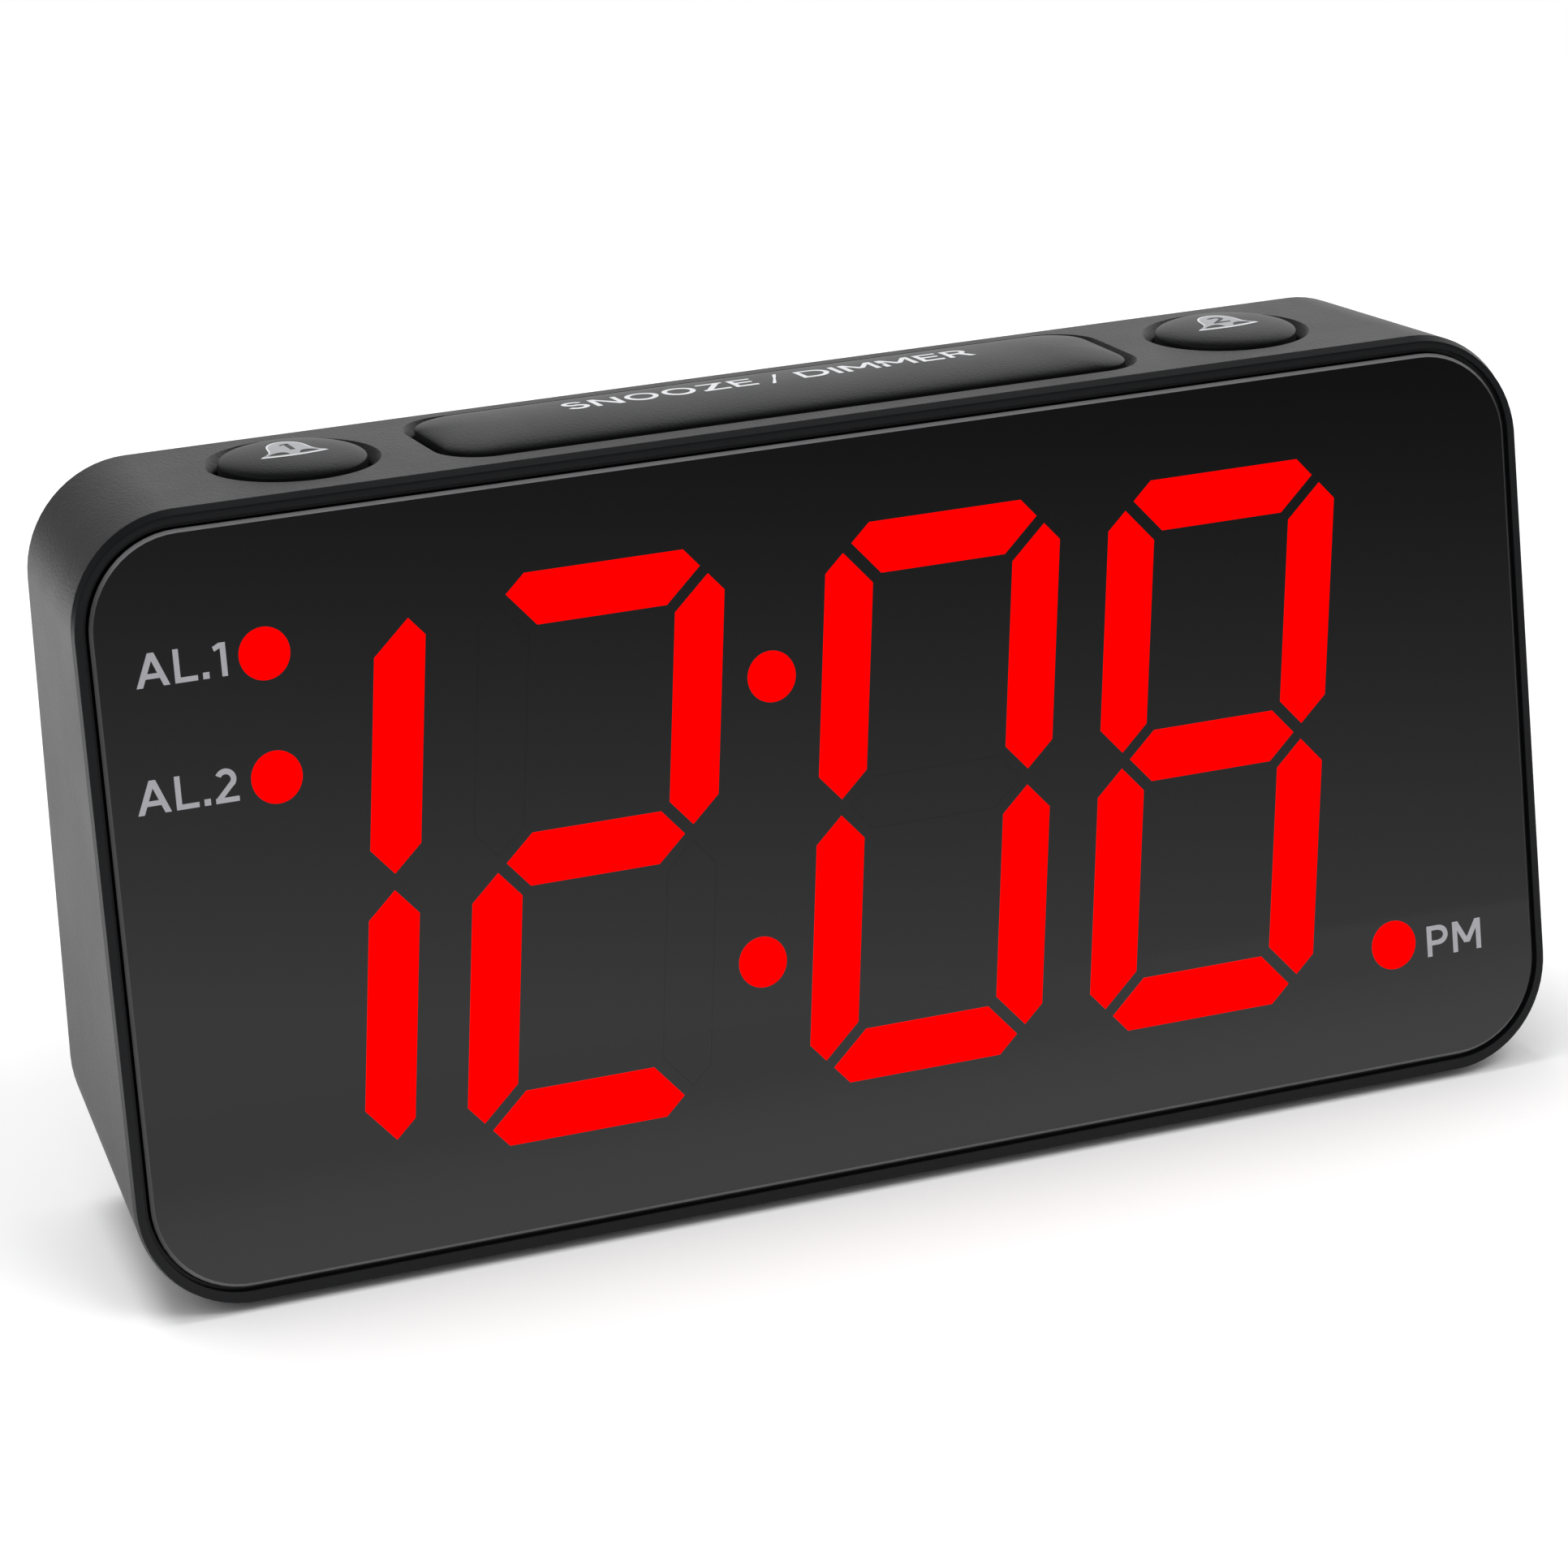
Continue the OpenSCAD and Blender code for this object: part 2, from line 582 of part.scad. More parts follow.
module capacitors() color("#35507c") face() on_back()
    for (c = [[14, -22, 3.1, 5.2], [23, -26, 2.4, 5], [57, -8, 3.1, 5.2]])
        translate([c[0], c[1], key_board_top + 0.02]) {
            cylinder(h = 1, r = c[2]);
            translate([0, 0, 1]) cylinder(h = 0.5, r = c[2] - 0.3);
            translate([0, 0, 1.5]) cylinder(h = c[3] - 1.5, r = c[2]);
        }

module dc_jack() color("#161618") face() on_back() translate([jack_at[0], jack_at[1], 0]) difference() {
    union() {
        translate([0, 0, key_board_top + 0.02]) linear_extrude(-key_board_top - wall - 0.4)
            square(jack_w, center = true);
        translate([0, 0, key_board_top + 0.02]) cylinder(h = jack_top - key_board_top, r = 3.8);
    }
    translate([0, 0, key_board_top + 1]) cylinder(h = 12, r = jack_bore_r);
    translate([0, 0, key_board_top - 1]) cylinder(h = 12, r = 0.6);
}

module dc_jack_pin() color("#d8d8dc") face() on_back()
    translate([jack_at[0], jack_at[1], key_board_top + 1.02]) {
        cylinder(h = jack_pin_l, r = jack_pin_r);
        translate([0, 0, jack_pin_l]) cylinder(h = 0.5, r1 = jack_pin_r, r2 = 0.5);
    }

module volume_switch() color("#a8a8ad") face() on_back()
    translate([volume_at[0], volume_at[1], key_board_top + 0.02]) difference() {
        linear_extrude(3.9) square([10, 4.6], center = true);
        translate([0, 0, 0.6]) linear_extrude(4) square([2 * volume_travel + 3.4, 2], center = true);
    }

module volume_knob() color("#1b1b1d") face() on_back() translate([volume_at[0], volume_at[1], 0]) {
    translate([0, 0, key_board_top + 0.9]) linear_extrude(-key_board_top - 0.4)
        square([2.6, 1.7], center = true);
    for (n = [-1:1]) translate([n * 0.8, 0, 0.5]) linear_extrude(0.5)
        square([0.4, 1.7], center = true);
}

// ---- battery bay -----------------------------------------------------------------------

module battery_door() color("#464648") face() on_back() difference() {
    union() {
        translate([bay_at[0] - door_w / 2, hinge_y, -door_t])
            cube([door_w, bay_at[1] + door_h / 2 - hinge_y, door_t]);
        translate([bay_at[0], hinge_y, -hinge_r]) rotate([0, 90, 0]) {
            cylinder(h = door_w, r = hinge_r, center = true);
            cylinder(h = door_w + 4, r = hinge_pin_r, center = true);
        }
        translate([bay_at[0] - 6, bay_at[1] + bay_h / 2 - 1.8, -door_t - 2.2]) cube([12, 1.2, 2.4]);
    }
    translate([bay_at[0], bay_at[1] + door_h / 2 + 3, 0]) cylinder(h = 1.6, r = 7, center = true);
}

function cell_y(n) = bay_at[1] + n * (cell_r + 0.35);

module battery_cells() color("#3c6e8f") face() on_back() for (n = [-1, 1])
    translate([bay_at[0] + n * cell_off, cell_y(n), cell_z]) rotate([0, n * 90, 0]) {
        cylinder(h = cell_l - 1.5, r = cell_r, center = true);
        translate([0, 0, cell_l / 2 - 0.8]) cylinder(h = 1.2, r = 1.9);
    }

module battery_springs() color("#c9c9cc") face() on_back() for (n = [-1, 1], k = [0:3])
    translate([bay_at[0] + n * (cell_off - cell_l / 2 + 0.4 - k * spring_pitch), cell_y(n), cell_z])
        rotate([0, 90, 0]) rotate_extrude() translate([2 + 0.6 * k, 0]) circle(0.3, $fn = 16);

module battery_contacts() color("#c9c9cc") face() on_back() for (s = [-1, 1])
    translate([bay_at[0] + s * (bay_w / 2 - 0.25), bay_at[1], bay_floor + 0.6])
        linear_extrude(9) square([0.4, bay_h - 1.2], center = true);

// ---- speaker --------------------------------------------------------------------------

module at_speaker() on_back() translate([speaker_at[0], speaker_at[1], 0]) children();
module speaker_frame() color("#8d8d92") face() at_speaker() rotate_extrude($fn = 64)
    polygon([[speaker_r, -2.1], [speaker_r, -3], [6.4, -5.6], [6.4, -4.7], [speaker_r - 1.6, -2.9],
        [speaker_r - 1.6, -2.1]]);
module speaker_cone() color("#26262a") face() at_speaker() rotate_extrude($fn = 64)
    polygon([[speaker_r - 1.8, -2.2], [speaker_r - 1.8, -2.5], [3.4, -4.6], [0, -3.9], [0, -3.6],
        [3.4, -4.2]]);
module speaker_magnet() color("#3a3a3e") face() at_speaker() translate([0, 0, -8.6])
    cylinder(h = 2.9, r = 6.2);

// ---- wiring --------------------------------------------------------------------------

// A round wire swept along a list of points, with a ring of corners at each point that
// faces halfway between the runs before and after it
wire_sides = 8;
function unit(v) = v / norm(v);
function run(p, n) = n < 0 || n > len(p) - 2 ? [0, 0, 0] : unit(p[n + 1] - p[n]);
function ring_at(p, n, r) =
    let (t = unit(run(p, n - 1) + run(p, n)), u = unit(cross([0, 1, 0], t)), w = cross(t, u))
    [for (k = [0:wire_sides - 1]) let (turn = k * 360 / wire_sides)
        p[n] + r * (cos(turn) * u + sin(turn) * w)];
module wire(points, r) {
    last = len(points) - 1;
    rings = [for (n = [0:last]) each ring_at(points, n, r)];
    near_cap = [for (k = [0:wire_sides - 1]) k];
    far_cap = [for (k = [wire_sides - 1:-1:0]) last * wire_sides + k];
    sides = [for (n = [0:last - 1], k = [0:wire_sides - 1])
        let (a = n * wire_sides + k, b = n * wire_sides + (k + 1) % wire_sides)
        each [[a, a + wire_sides, b], [b, a + wire_sides, b + wire_sides]]];
    polyhedron(points = rings, faces = concat([near_cap, far_cap], sides));
}

module speaker_wires() color("#a33") face() on_back() for (s = [-1, 1])
    wire([[-26, 13 + s * 1.6, -5.85], [-22, 13 + s * 1.6, -7], [-4, 9 + s * 1.3, -7],
        [2, 9 + s * 1.3, -7], [2, 9 + s * 1.3, key_board_top + 0.03]], wire_r);

module battery_wires() color("#222") face() on_back() for (s = [-1, 1])
    wire([[-7.1, -15 + s * 8, -12], [-5, -15 + s * 8, -12.6], [4, -15 + s * 3, -12.6],
        [4, -15 + s * 3, key_board_top - board_t - 0.03]], wire_r);

// Flat cables, drawn side on in Y and Z and carried across X
module flat_cable(x, w, points) translate([x, 0, 0]) rotate([90, 0, 90]) linear_extrude(w) polygon(points);
module display_cable() color("#8e8e96") face() flat_cable(-26, 13, [[9.7, -18], [12.4, -18], [15.6, -12.6],
    [18, -12.6], [18, -13.3], [16, -13.3], [12.8, -18.7], [9.7, -18.7]]);
module key_cable() color("#8e8e96") face() flat_cable(-38, 9, [[12.2, 31.2], [12.9, 31.2], [12.9, 21.5],
    [15.9, 21.5], [15.9, 20.8], [12.2, 20.8]]);

rear_case();
front_bezel();
front_lens();
lens_tape();
lit_segments();
unlit_segments();
colon_dots();
alarm_1_dot();
alarm_2_dot();
pm_dot();
reflector_block();
display_leds();
display_board();
display_screws();
led_drivers();
case_screws();
front_feet();
rear_feet();
alarm_1_button();
alarm_2_button();
snooze_bar();
time_button();
hour_button();
minute_button();
alarm_1_plunger();
alarm_2_plunger();
snooze_plungers();
time_plunger();
hour_plunger();
minute_plunger();
top_switches();
rear_switches();
key_board();
key_board_screws();
main_board();
main_board_screws();
controller_chip();
clock_crystal();
capacitors();
dc_jack();
dc_jack_pin();
volume_switch();
volume_knob();
battery_door();
battery_cells();
battery_springs();
battery_contacts();
speaker_frame();
speaker_cone();
speaker_magnet();
speaker_wires();
battery_wires();
display_cable();
key_cable();
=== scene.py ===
"""Digital alarm clock: its moulded case, display panel, keys, battery bay and works.

Lengths are millimetres until a mesh is written, which is in metres. Three working frames
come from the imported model, each with z out of its surface: FACE (x right, y up the leaning
face), TOP (x right, y back) and BACK (x right as seen from behind, y up).
"""

import json
import logging
import math
from contextlib import contextmanager
from dataclasses import dataclass, field
from enum import Enum
from typing import Callable, Iterator, Sequence

import bmesh
import bpy
import numpy as np
from mathutils import Matrix, Vector
from mathutils.geometry import delaunay_2d_cdt


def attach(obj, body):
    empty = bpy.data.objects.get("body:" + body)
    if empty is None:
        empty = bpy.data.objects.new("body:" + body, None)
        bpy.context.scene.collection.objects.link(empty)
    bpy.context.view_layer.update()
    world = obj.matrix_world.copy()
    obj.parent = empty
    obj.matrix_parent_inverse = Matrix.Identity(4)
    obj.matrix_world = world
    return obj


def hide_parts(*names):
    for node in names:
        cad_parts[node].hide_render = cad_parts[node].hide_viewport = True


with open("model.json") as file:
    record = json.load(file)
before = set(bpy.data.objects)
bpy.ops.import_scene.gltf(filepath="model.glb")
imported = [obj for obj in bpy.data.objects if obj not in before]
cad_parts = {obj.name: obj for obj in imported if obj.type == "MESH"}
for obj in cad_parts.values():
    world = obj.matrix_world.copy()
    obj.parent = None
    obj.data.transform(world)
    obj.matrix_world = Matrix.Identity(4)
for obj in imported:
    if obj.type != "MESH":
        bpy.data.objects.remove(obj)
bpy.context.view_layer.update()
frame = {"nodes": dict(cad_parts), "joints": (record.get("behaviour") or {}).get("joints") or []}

Array = np.ndarray
Ring = np.ndarray
log = logging.getLogger("alarm_clock")

MM = 0.001
WELD = 2e-6                     # vertices closer than this, in metres, become one
CREASE = 32                     # edges that turn more than this, in degrees, stay sharp
QUARTER = math.pi / 2


# ---- working frames ---------------------------------------------------------------


def unit(vectors: Array) -> Array:
    """Each vector divided by its own length."""
    return vectors / np.linalg.norm(vectors, axis=-1, keepdims=True)


@dataclass(frozen=True)
class Datum:
    """A right-handed working frame: its origin, and its axes as the rows of a matrix."""

    origin: Array
    axes: Array

    def place(self, points: Array) -> Array:
        """Points of this frame as points of the part's frame."""
        return self.origin + np.asarray(points, float) @ self.axes

    def lifted(self, ring: Ring, height: float | Array) -> Array:
        """A flat ring of this frame, raised to a height, as points of the part's frame."""
        return self.place(lift(ring, height))

    def local(self, points: Array) -> Array:
        """Points of the part's frame as points of this frame."""
        return (points - self.origin) @ self.axes.T

    def flat(self, points: Array) -> Array:
        """Where points of the part's frame lie across this frame's plane and up it."""
        return self.local(points)[:, :2]

    def turn(self, vectors: Array) -> Array:
        """Directions of this frame as directions of the part's frame."""
        return np.asarray(vectors, float) @ self.axes

    def at(self, x: float, y: float, z: float = 0.0) -> "Datum":
        """The same frame with its origin moved to a point of its own."""
        return Datum(self.place(np.array((x, y, z))), self.axes)


def span(node: str, axis: Array) -> tuple[float, float]:
    """How far a node of the model reaches along an axis.

    Args:
        node: name of the node.
        axis: unit direction in the part's frame.

    Returns:
        The least and greatest reach, in millimetres.
    """
    mesh = frame["nodes"][node].data
    points = np.empty(len(mesh.vertices) * 3, np.float32)
    mesh.vertices.foreach_get("co", points)
    reach = points.reshape(-1, 3).astype(float) @ axis / MM
    return float(reach.min()), float(reach.max())


def press_axis(joint: str) -> Array:
    """The direction in which a key of the model is pushed."""
    found = next(j for j in frame["joints"] if j["name"] == joint)
    return unit(np.array(found["axis"]))


def face_datum(lean: float) -> Datum:
    """The frame of the panel's outer face.

    Args:
        lean: how far the face leans back, in degrees.

    Returns:
        The frame, with the panel's middle at its origin.
    """
    c, s = math.cos(math.radians(lean)), math.sin(math.radians(lean))
    axes = np.array(((1, 0, 0), (0, s, c), (0, -c, s)))
    height, front = sum(span("front_lens", axes[1])) / 2, span("front_lens", axes[2])[1]
    return Datum(axes[1] * height + axes[2] * front, axes)


def key_datum(joint: str, node: str, right: float, proud: float) -> Datum:
    """The frame of the case's surface around a key.

    Args:
        joint: the key's joint, whose push runs into the surface.
        node: the key, whose middle gives the frame's origin.
        right: 1 where x runs with the part's X, -1 where it runs against it.
        proud: how far the key stands over the surface.

    Returns:
        The frame, with z out of the surface and the key at its origin.
    """
    x, z = np.array((right, 0.0, 0.0)), -press_axis(joint)
    axes = np.array((x, np.cross(z, x), z))
    middle = [sum(span(node, axis)) / 2 for axis in axes[:2]]
    return Datum(np.array((*middle, span(node, z)[1] - proud)) @ axes, axes)


LEAN = 11.9                     # how far the face leans back, in degrees
SWELL = 0.15                    # how far the moulded skin lies outside the model's plain solid
BAR_PROUD = 1.11                # how far the bar stands over the top
BAR_X = 0.45                    # its middle, across the top
ALARM_X = (-52.6, 53.3)         # middles of the round keys, across the top
SET_PROUD = 0.8                 # how far the setting keys stand over the back
SET_X = (14.0, 30.0, 46.0)      # their middles, across the back
SET_Y = 16.0                    # and up it
SCREW_X = 71.0                  # how far the case screws are from the middle, across the face
SCREWS = [(side * SCREW_X, y) for side in (-1, 1) for y in (30.0, -22.0)]
BAY_X, BAY_Y = -34.0, -15.0     # middle of the battery bay, on the back
HINGE_Y, HINGE_Z = -27.5, -1.3  # the door's axis, up the back and over it
FACE = face_datum(LEAN)
TOP = key_datum("snooze_press", "snooze_bar", 1, BAR_PROUD).at(0, 0, SWELL)
BACK = key_datum("hour_press", "hour_button", -1, SET_PROUD).at(-SET_X[1], -SET_Y)


# ---- rings and surfaces -------------------------------------------------------------


@dataclass(frozen=True)
class Outline:
    """A rounded rectangle about a point; a circle when both sides are twice its radius."""

    w: float
    h: float
    r: float
    x: float = 0.0
    y: float = 0.0
    arc: int = 10               # steps in each quarter turn

    def grown(self, by: float) -> "Outline":
        """The outline that lies outside this one by `by` all round."""
        return Outline(self.w + 2 * by, self.h + 2 * by, self.r + by, self.x, self.y, self.arc)

    def angles(self) -> Array:
        """The angles of the points' outward directions.

        Returns:
            The angles, four quarters one after another, anticlockwise from +x.
        """
        straight = max(self.w, self.h) - 2 * self.r > WELD / MM
        turn = np.linspace(0, QUARTER, self.arc + 1)[: None if straight else -1]
        return (np.arange(4)[:, None] * QUARTER + turn).ravel()

    def normals(self) -> Array:
        """Outward directions at the points: the cosine and sine of each angle."""
        return np.column_stack((np.cos(self.angles()), np.sin(self.angles())))

    def ring(self) -> Ring:
        """The outline's points: each corner's centre plus the radius times the outward direction.

        Returns:
            The points, anticlockwise from the right-hand side.
        """
        count = len(self.angles()) // 4
        side = np.repeat(((1, 1), (-1, 1), (-1, -1), (1, -1)), count, axis=0)
        centre = side * (self.w / 2 - self.r, self.h / 2 - self.r) + (self.x, self.y)
        return centre + self.r * self.normals()


def circle(r: float, x: float = 0.0, y: float = 0.0, arc: int = 12) -> Outline:
    """A round outline of radius r about a point."""
    return Outline(2 * r, 2 * r, r, x, y, arc)


def lift(ring: Ring, height: float | Array) -> Array:
    """A flat ring as points in space, at a height or at one height for each point."""
    return np.column_stack((ring, np.broadcast_to(height, len(ring))))


def upright(ring: Ring, depth: float) -> Array:
    """A ring drawn on the face, in the part's frame, `depth` behind the panel's surface."""
    return FACE.lifted(ring, -depth)


def slide(points: Array, ways: Array, datum: Datum, height: float) -> Array:
    """Slides points along their own directions until they lie at a height over a frame's plane."""
    rise = ways @ datum.axes[2]
    return points + ways * ((height - (points - datum.origin) @ datum.axes[2]) / rise)[:, None]


def quarter_round(corner: Array, near: Array, far: Array, r: float, steps: int) -> Array:
    """Rings of a quarter round: at angle a, r (1 - sin a) along `near` and r (1 - cos a) along `far`."""
    a = np.linspace(0, QUARTER, steps + 1)[:, None, None]
    return corner + r * (1 - np.sin(a)) * near + r * (1 - np.cos(a)) * far


def anticlockwise(ring: Ring) -> Ring:
    """Turns a ring round if it runs clockwise, which the sign of its area tells.

    Args:
        ring: the ring.

    Returns:
        The same points, anticlockwise.
    """
    x, y = ring.T
    area = np.dot(x, np.roll(y, -1)) - np.dot(y, np.roll(x, -1))
    return ring if area > 0 else ring[::-1]


def fill(keep: Sequence[Ring], cut: Sequence[Ring] = (), grid: float = 0.0) -> tuple[Array, list]:
    """Fills the union of some rings, less others.

    Args:
        keep: rings whose insides are filled.
        cut: rings whose insides stay open.
        grid: spacing of the points added inside, for a sheet that is to be curved.

    Returns:
        The flat points, and the faces as lists of their numbers, anticlockwise.
    """
    rings = [anticlockwise(ring) for ring in (*keep, *cut)]
    stops = np.cumsum([len(ring) for ring in rings])
    loops = [list(range(stop - len(ring), stop)) for ring, stop in zip(rings, stops)]
    points = np.vstack(rings)
    if grid:
        low, high = points.min(0), points.max(0)
        xs, ys = (np.arange(a + grid / 2, b, grid) for a, b in zip(low, high))
        points = np.vstack((points, np.stack(np.meshgrid(xs, ys), -1).reshape(-1, 2)))
    kind = 1 if grid else 4
    found = delaunay_2d_cdt([Vector(p) for p in points], [], loops, kind, 1e-5, True)
    faces = [face for face, owners in zip(found[2], found[5]) if owners and max(owners) < len(keep)]
    return np.array([tuple(p) for p in found[0]]), faces


class Skin:
    """The patches of one piece, gathered and then closed into a mesh."""

    def __init__(self) -> None:
        """Starts with no patches."""
        self.points: list[Array] = []
        self.faces: list[list[int]] = []
        self.kinds: list[int] = []
        self.count = 0
        self.kind = 0           # which of the piece's finishes the next patches have

    def add(self, points: Array, faces: Sequence[Sequence[int]]) -> None:
        """Adds a patch.

        Args:
            points: its points in the part's frame.
            faces: its faces, as lists of the points' numbers.
        """
        self.faces += [[n + self.count for n in face] for face in faces]
        self.kinds += [self.kind] * len(faces)
        self.points.append(points)
        self.count += len(points)

    def loft(self, rings: Sequence[Array], ends: str = "", skip: Sequence[tuple] = (),
             around: bool = True) -> None:
        """Joins rings of equally many points by four-sided faces.

        Args:
            rings: the rings in order, each a list of points in the part's frame.
            ends: "first", "last" or "both" closes that end with a face; "loop" joins them.
            skip: patches left open, each as (first row, last row, column).
            around: whether a ring's last point joins its first.
        """
        grid = np.asarray(rings)
        rows, columns = grid.shape[:2]
        row = np.arange(rows if ends == "loop" else rows - 1)[:, None]
        column = np.arange(columns if around else columns - 1)
        after, beside = (row + 1) % rows * columns, (column + 1) % columns
        quads = np.stack((row * columns + column, row * columns + beside, after + beside,
                          after + column), -1)
        kept = np.ones(quads.shape[:2], bool)
        for first, last, place in skip:
            kept[first:last, place] = False
        faces = quads[kept].tolist()
        if ends in ("first", "both"):
            faces.append(list(range(columns)))
        if ends in ("last", "both"):
            faces.append(list(range((rows - 1) * columns, rows * columns)))
        self.add(grid.reshape(-1, 3), faces)

    def plate(self, datum: Datum, keep: Sequence[Ring], cut: Sequence[Ring] = (),
              height: float = 0.0) -> None:
        """Adds a flat face with openings, in a frame's plane or at a height over it."""
        points, faces = fill(keep, cut)
        self.add(datum.lifted(points, height), faces)

    def turned(self, datum: Datum, profile: Sequence[tuple[float, float]], arc: int = 12,
               ends: str = "both") -> None:
        """Adds a profile of (radius, height) points turned about a frame's z axis."""
        self.loft([datum.lifted(circle(r, arc=arc).ring(), z) for r, z in profile], ends)

    def tube(self, datum: Datum, bore: float, r: float, start: float, end: float, arc: int = 12) -> None:
        """Adds a tube about a frame's z axis, from one height to another."""
        self.turned(datum, [(bore, start), (r, start), (r, end), (bore, end)], arc, "loop")

    def moulded(self, datum: Datum, outline: Outline, profile: Sequence[tuple[float, float]],
                ends: str = "both") -> None:
        """Adds a profile of (growth, height) points carried round an outline."""
        self.loft([datum.lifted(outline.grown(g).ring(), z) for g, z in profile], ends)

    def finish(self, name: str, *stuffs: "Stuff", body: str = "clock_body", slot: str = "",
               nodes: Sequence[str] = ()) -> None:
        """Welds the patches into a closed mesh, dresses it and lets it ride.

        Args:
            name: the piece's name.
            *stuffs: what it is made of; patches of kind 1 have the second.
            body: the body that it moves with.
            slot: the record's material slot, if it has one; not used.
            nodes: the nodes of the model that it stands for.
        """
        mesh = bpy.data.meshes.new(name)
        mesh.from_pydata(np.vstack(self.points) * MM, [], self.faces)
        cover(mesh, *stuffs)
        mesh.polygons.foreach_set("material_index", self.kinds)
        with opened(mesh) as work:
            bmesh.ops.dissolve_degenerate(work, edges=work.edges, dist=WELD)
            bmesh.ops.recalc_face_normals(work, faces=work.faces)
        mesh.shade_smooth()
        mesh.set_sharp_from_angle(angle=math.radians(CREASE))
        piece = stand(name, mesh)
        piece.modifiers.new("even_normals", "WEIGHTED_NORMAL").keep_sharp = True
        enter(piece, body, nodes)


# ---- pieces -------------------------------------------------------------------------


@contextmanager
def opened(mesh: bpy.types.Mesh) -> Iterator[bmesh.types.BMesh]:
    """Opens a mesh for changes, with its doubled vertices merged, and then writes it back.

    Args:
        mesh: the mesh.

    Yields:
        The open mesh.
    """
    work = bmesh.new()
    work.from_mesh(mesh)
    bmesh.ops.remove_doubles(work, verts=work.verts, dist=WELD)
    yield work
    work.to_mesh(mesh)
    work.free()


def cover(mesh: bpy.types.Mesh, *stuffs: "Stuff") -> None:
    """Gives a mesh its materials, in place of any that it has.

    Args:
        mesh: the mesh.
        *stuffs: what it is made of.
    """
    mesh.materials.clear()
    for stuff in stuffs:
        mesh.materials.append(stuff.value.material())


def wear(wardrobe: dict["Stuff", Sequence[str]]) -> None:
    """Dresses nodes of the model, which keep their own shapes.

    Args:
        wardrobe: the nodes' names, for each stuff that some are made of.
    """
    for stuff, nodes in wardrobe.items():
        for name in nodes:
            cover(frame["nodes"][name].data, stuff)
            log.info("%s: kept as %s", name, stuff.value.name)


def stand(name: str, data: bpy.types.ID) -> bpy.types.Object:
    """Puts an object in the scene, at the origin.

    Args:
        name: the object's name.
        data: its mesh, camera or light.

    Returns:
        The object.
    """
    made = bpy.data.objects.new(name, data)
    bpy.context.scene.collection.objects.link(made)
    return made


def enter(piece: bpy.types.Object, body: str, nodes: Sequence[str]) -> None:
    """Lets a piece ride on a body, and says what it stands for.

    Args:
        piece: the piece.
        body: the body that it moves with.
        nodes: the nodes of the model that it stands for.
    """
    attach(piece, body)
    if nodes:
        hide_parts(*nodes)
    log.info("%s: %d faces on %s", piece.name, len(piece.data.polygons), body)


# ---- finishes -----------------------------------------------------------------------


def linear(code: str) -> tuple[float, float, float, float]:
    """An sRGB hex colour as linear red, green, blue and alpha."""
    values = [int(code[n:n + 2], 16) / 255 for n in (1, 3, 5)]
    return (*(v / 12.92 if v <= 0.04045 else ((v + 0.055) / 1.055) ** 2.4 for v in values), 1.0)


def feed(node: bpy.types.Node, inputs: dict) -> None:
    """Gives a node what its inputs take.

    Args:
        node: the node.
        inputs: for each input, by name or number, a socket to link or a value to set.
    """
    for key, value in inputs.items():
        if isinstance(value, bpy.types.NodeSocket):
            node.id_data.links.new(value, node.inputs[key])
        else:
            node.inputs[key].default_value = value


def add(tree: bpy.types.NodeTree, kind: str, inputs: dict | None = None,
        **settings: object) -> bpy.types.NodeOutputs:
    """Adds a shader node.

    Args:
        tree: the node tree that it goes into.
        kind: its kind, without the common prefix.
        inputs: what its inputs take, as for `feed`.
        **settings: the node's own settings.

    Returns:
        The node's outputs.
    """
    node = tree.nodes.new("ShaderNode" + kind)
    for key, value in settings.items():
        setattr(node, key, value)
    feed(node, inputs or {})
    return node.outputs


@dataclass(frozen=True)
class Ramp:
    """A level that runs evenly from `low` at `start` to `high` at `end`, and is flat beyond."""

    start: float = 0.0
    end: float = 1.0
    low: float = 0.0
    high: float = 1.0

    def of(self, value: bpy.types.NodeSocket) -> dict:
        """What a range node takes, to turn a value into its level."""
        return {"Value": value, "From Min": self.start, "From Max": self.end, "To Min": self.low,
                "To Max": self.high}


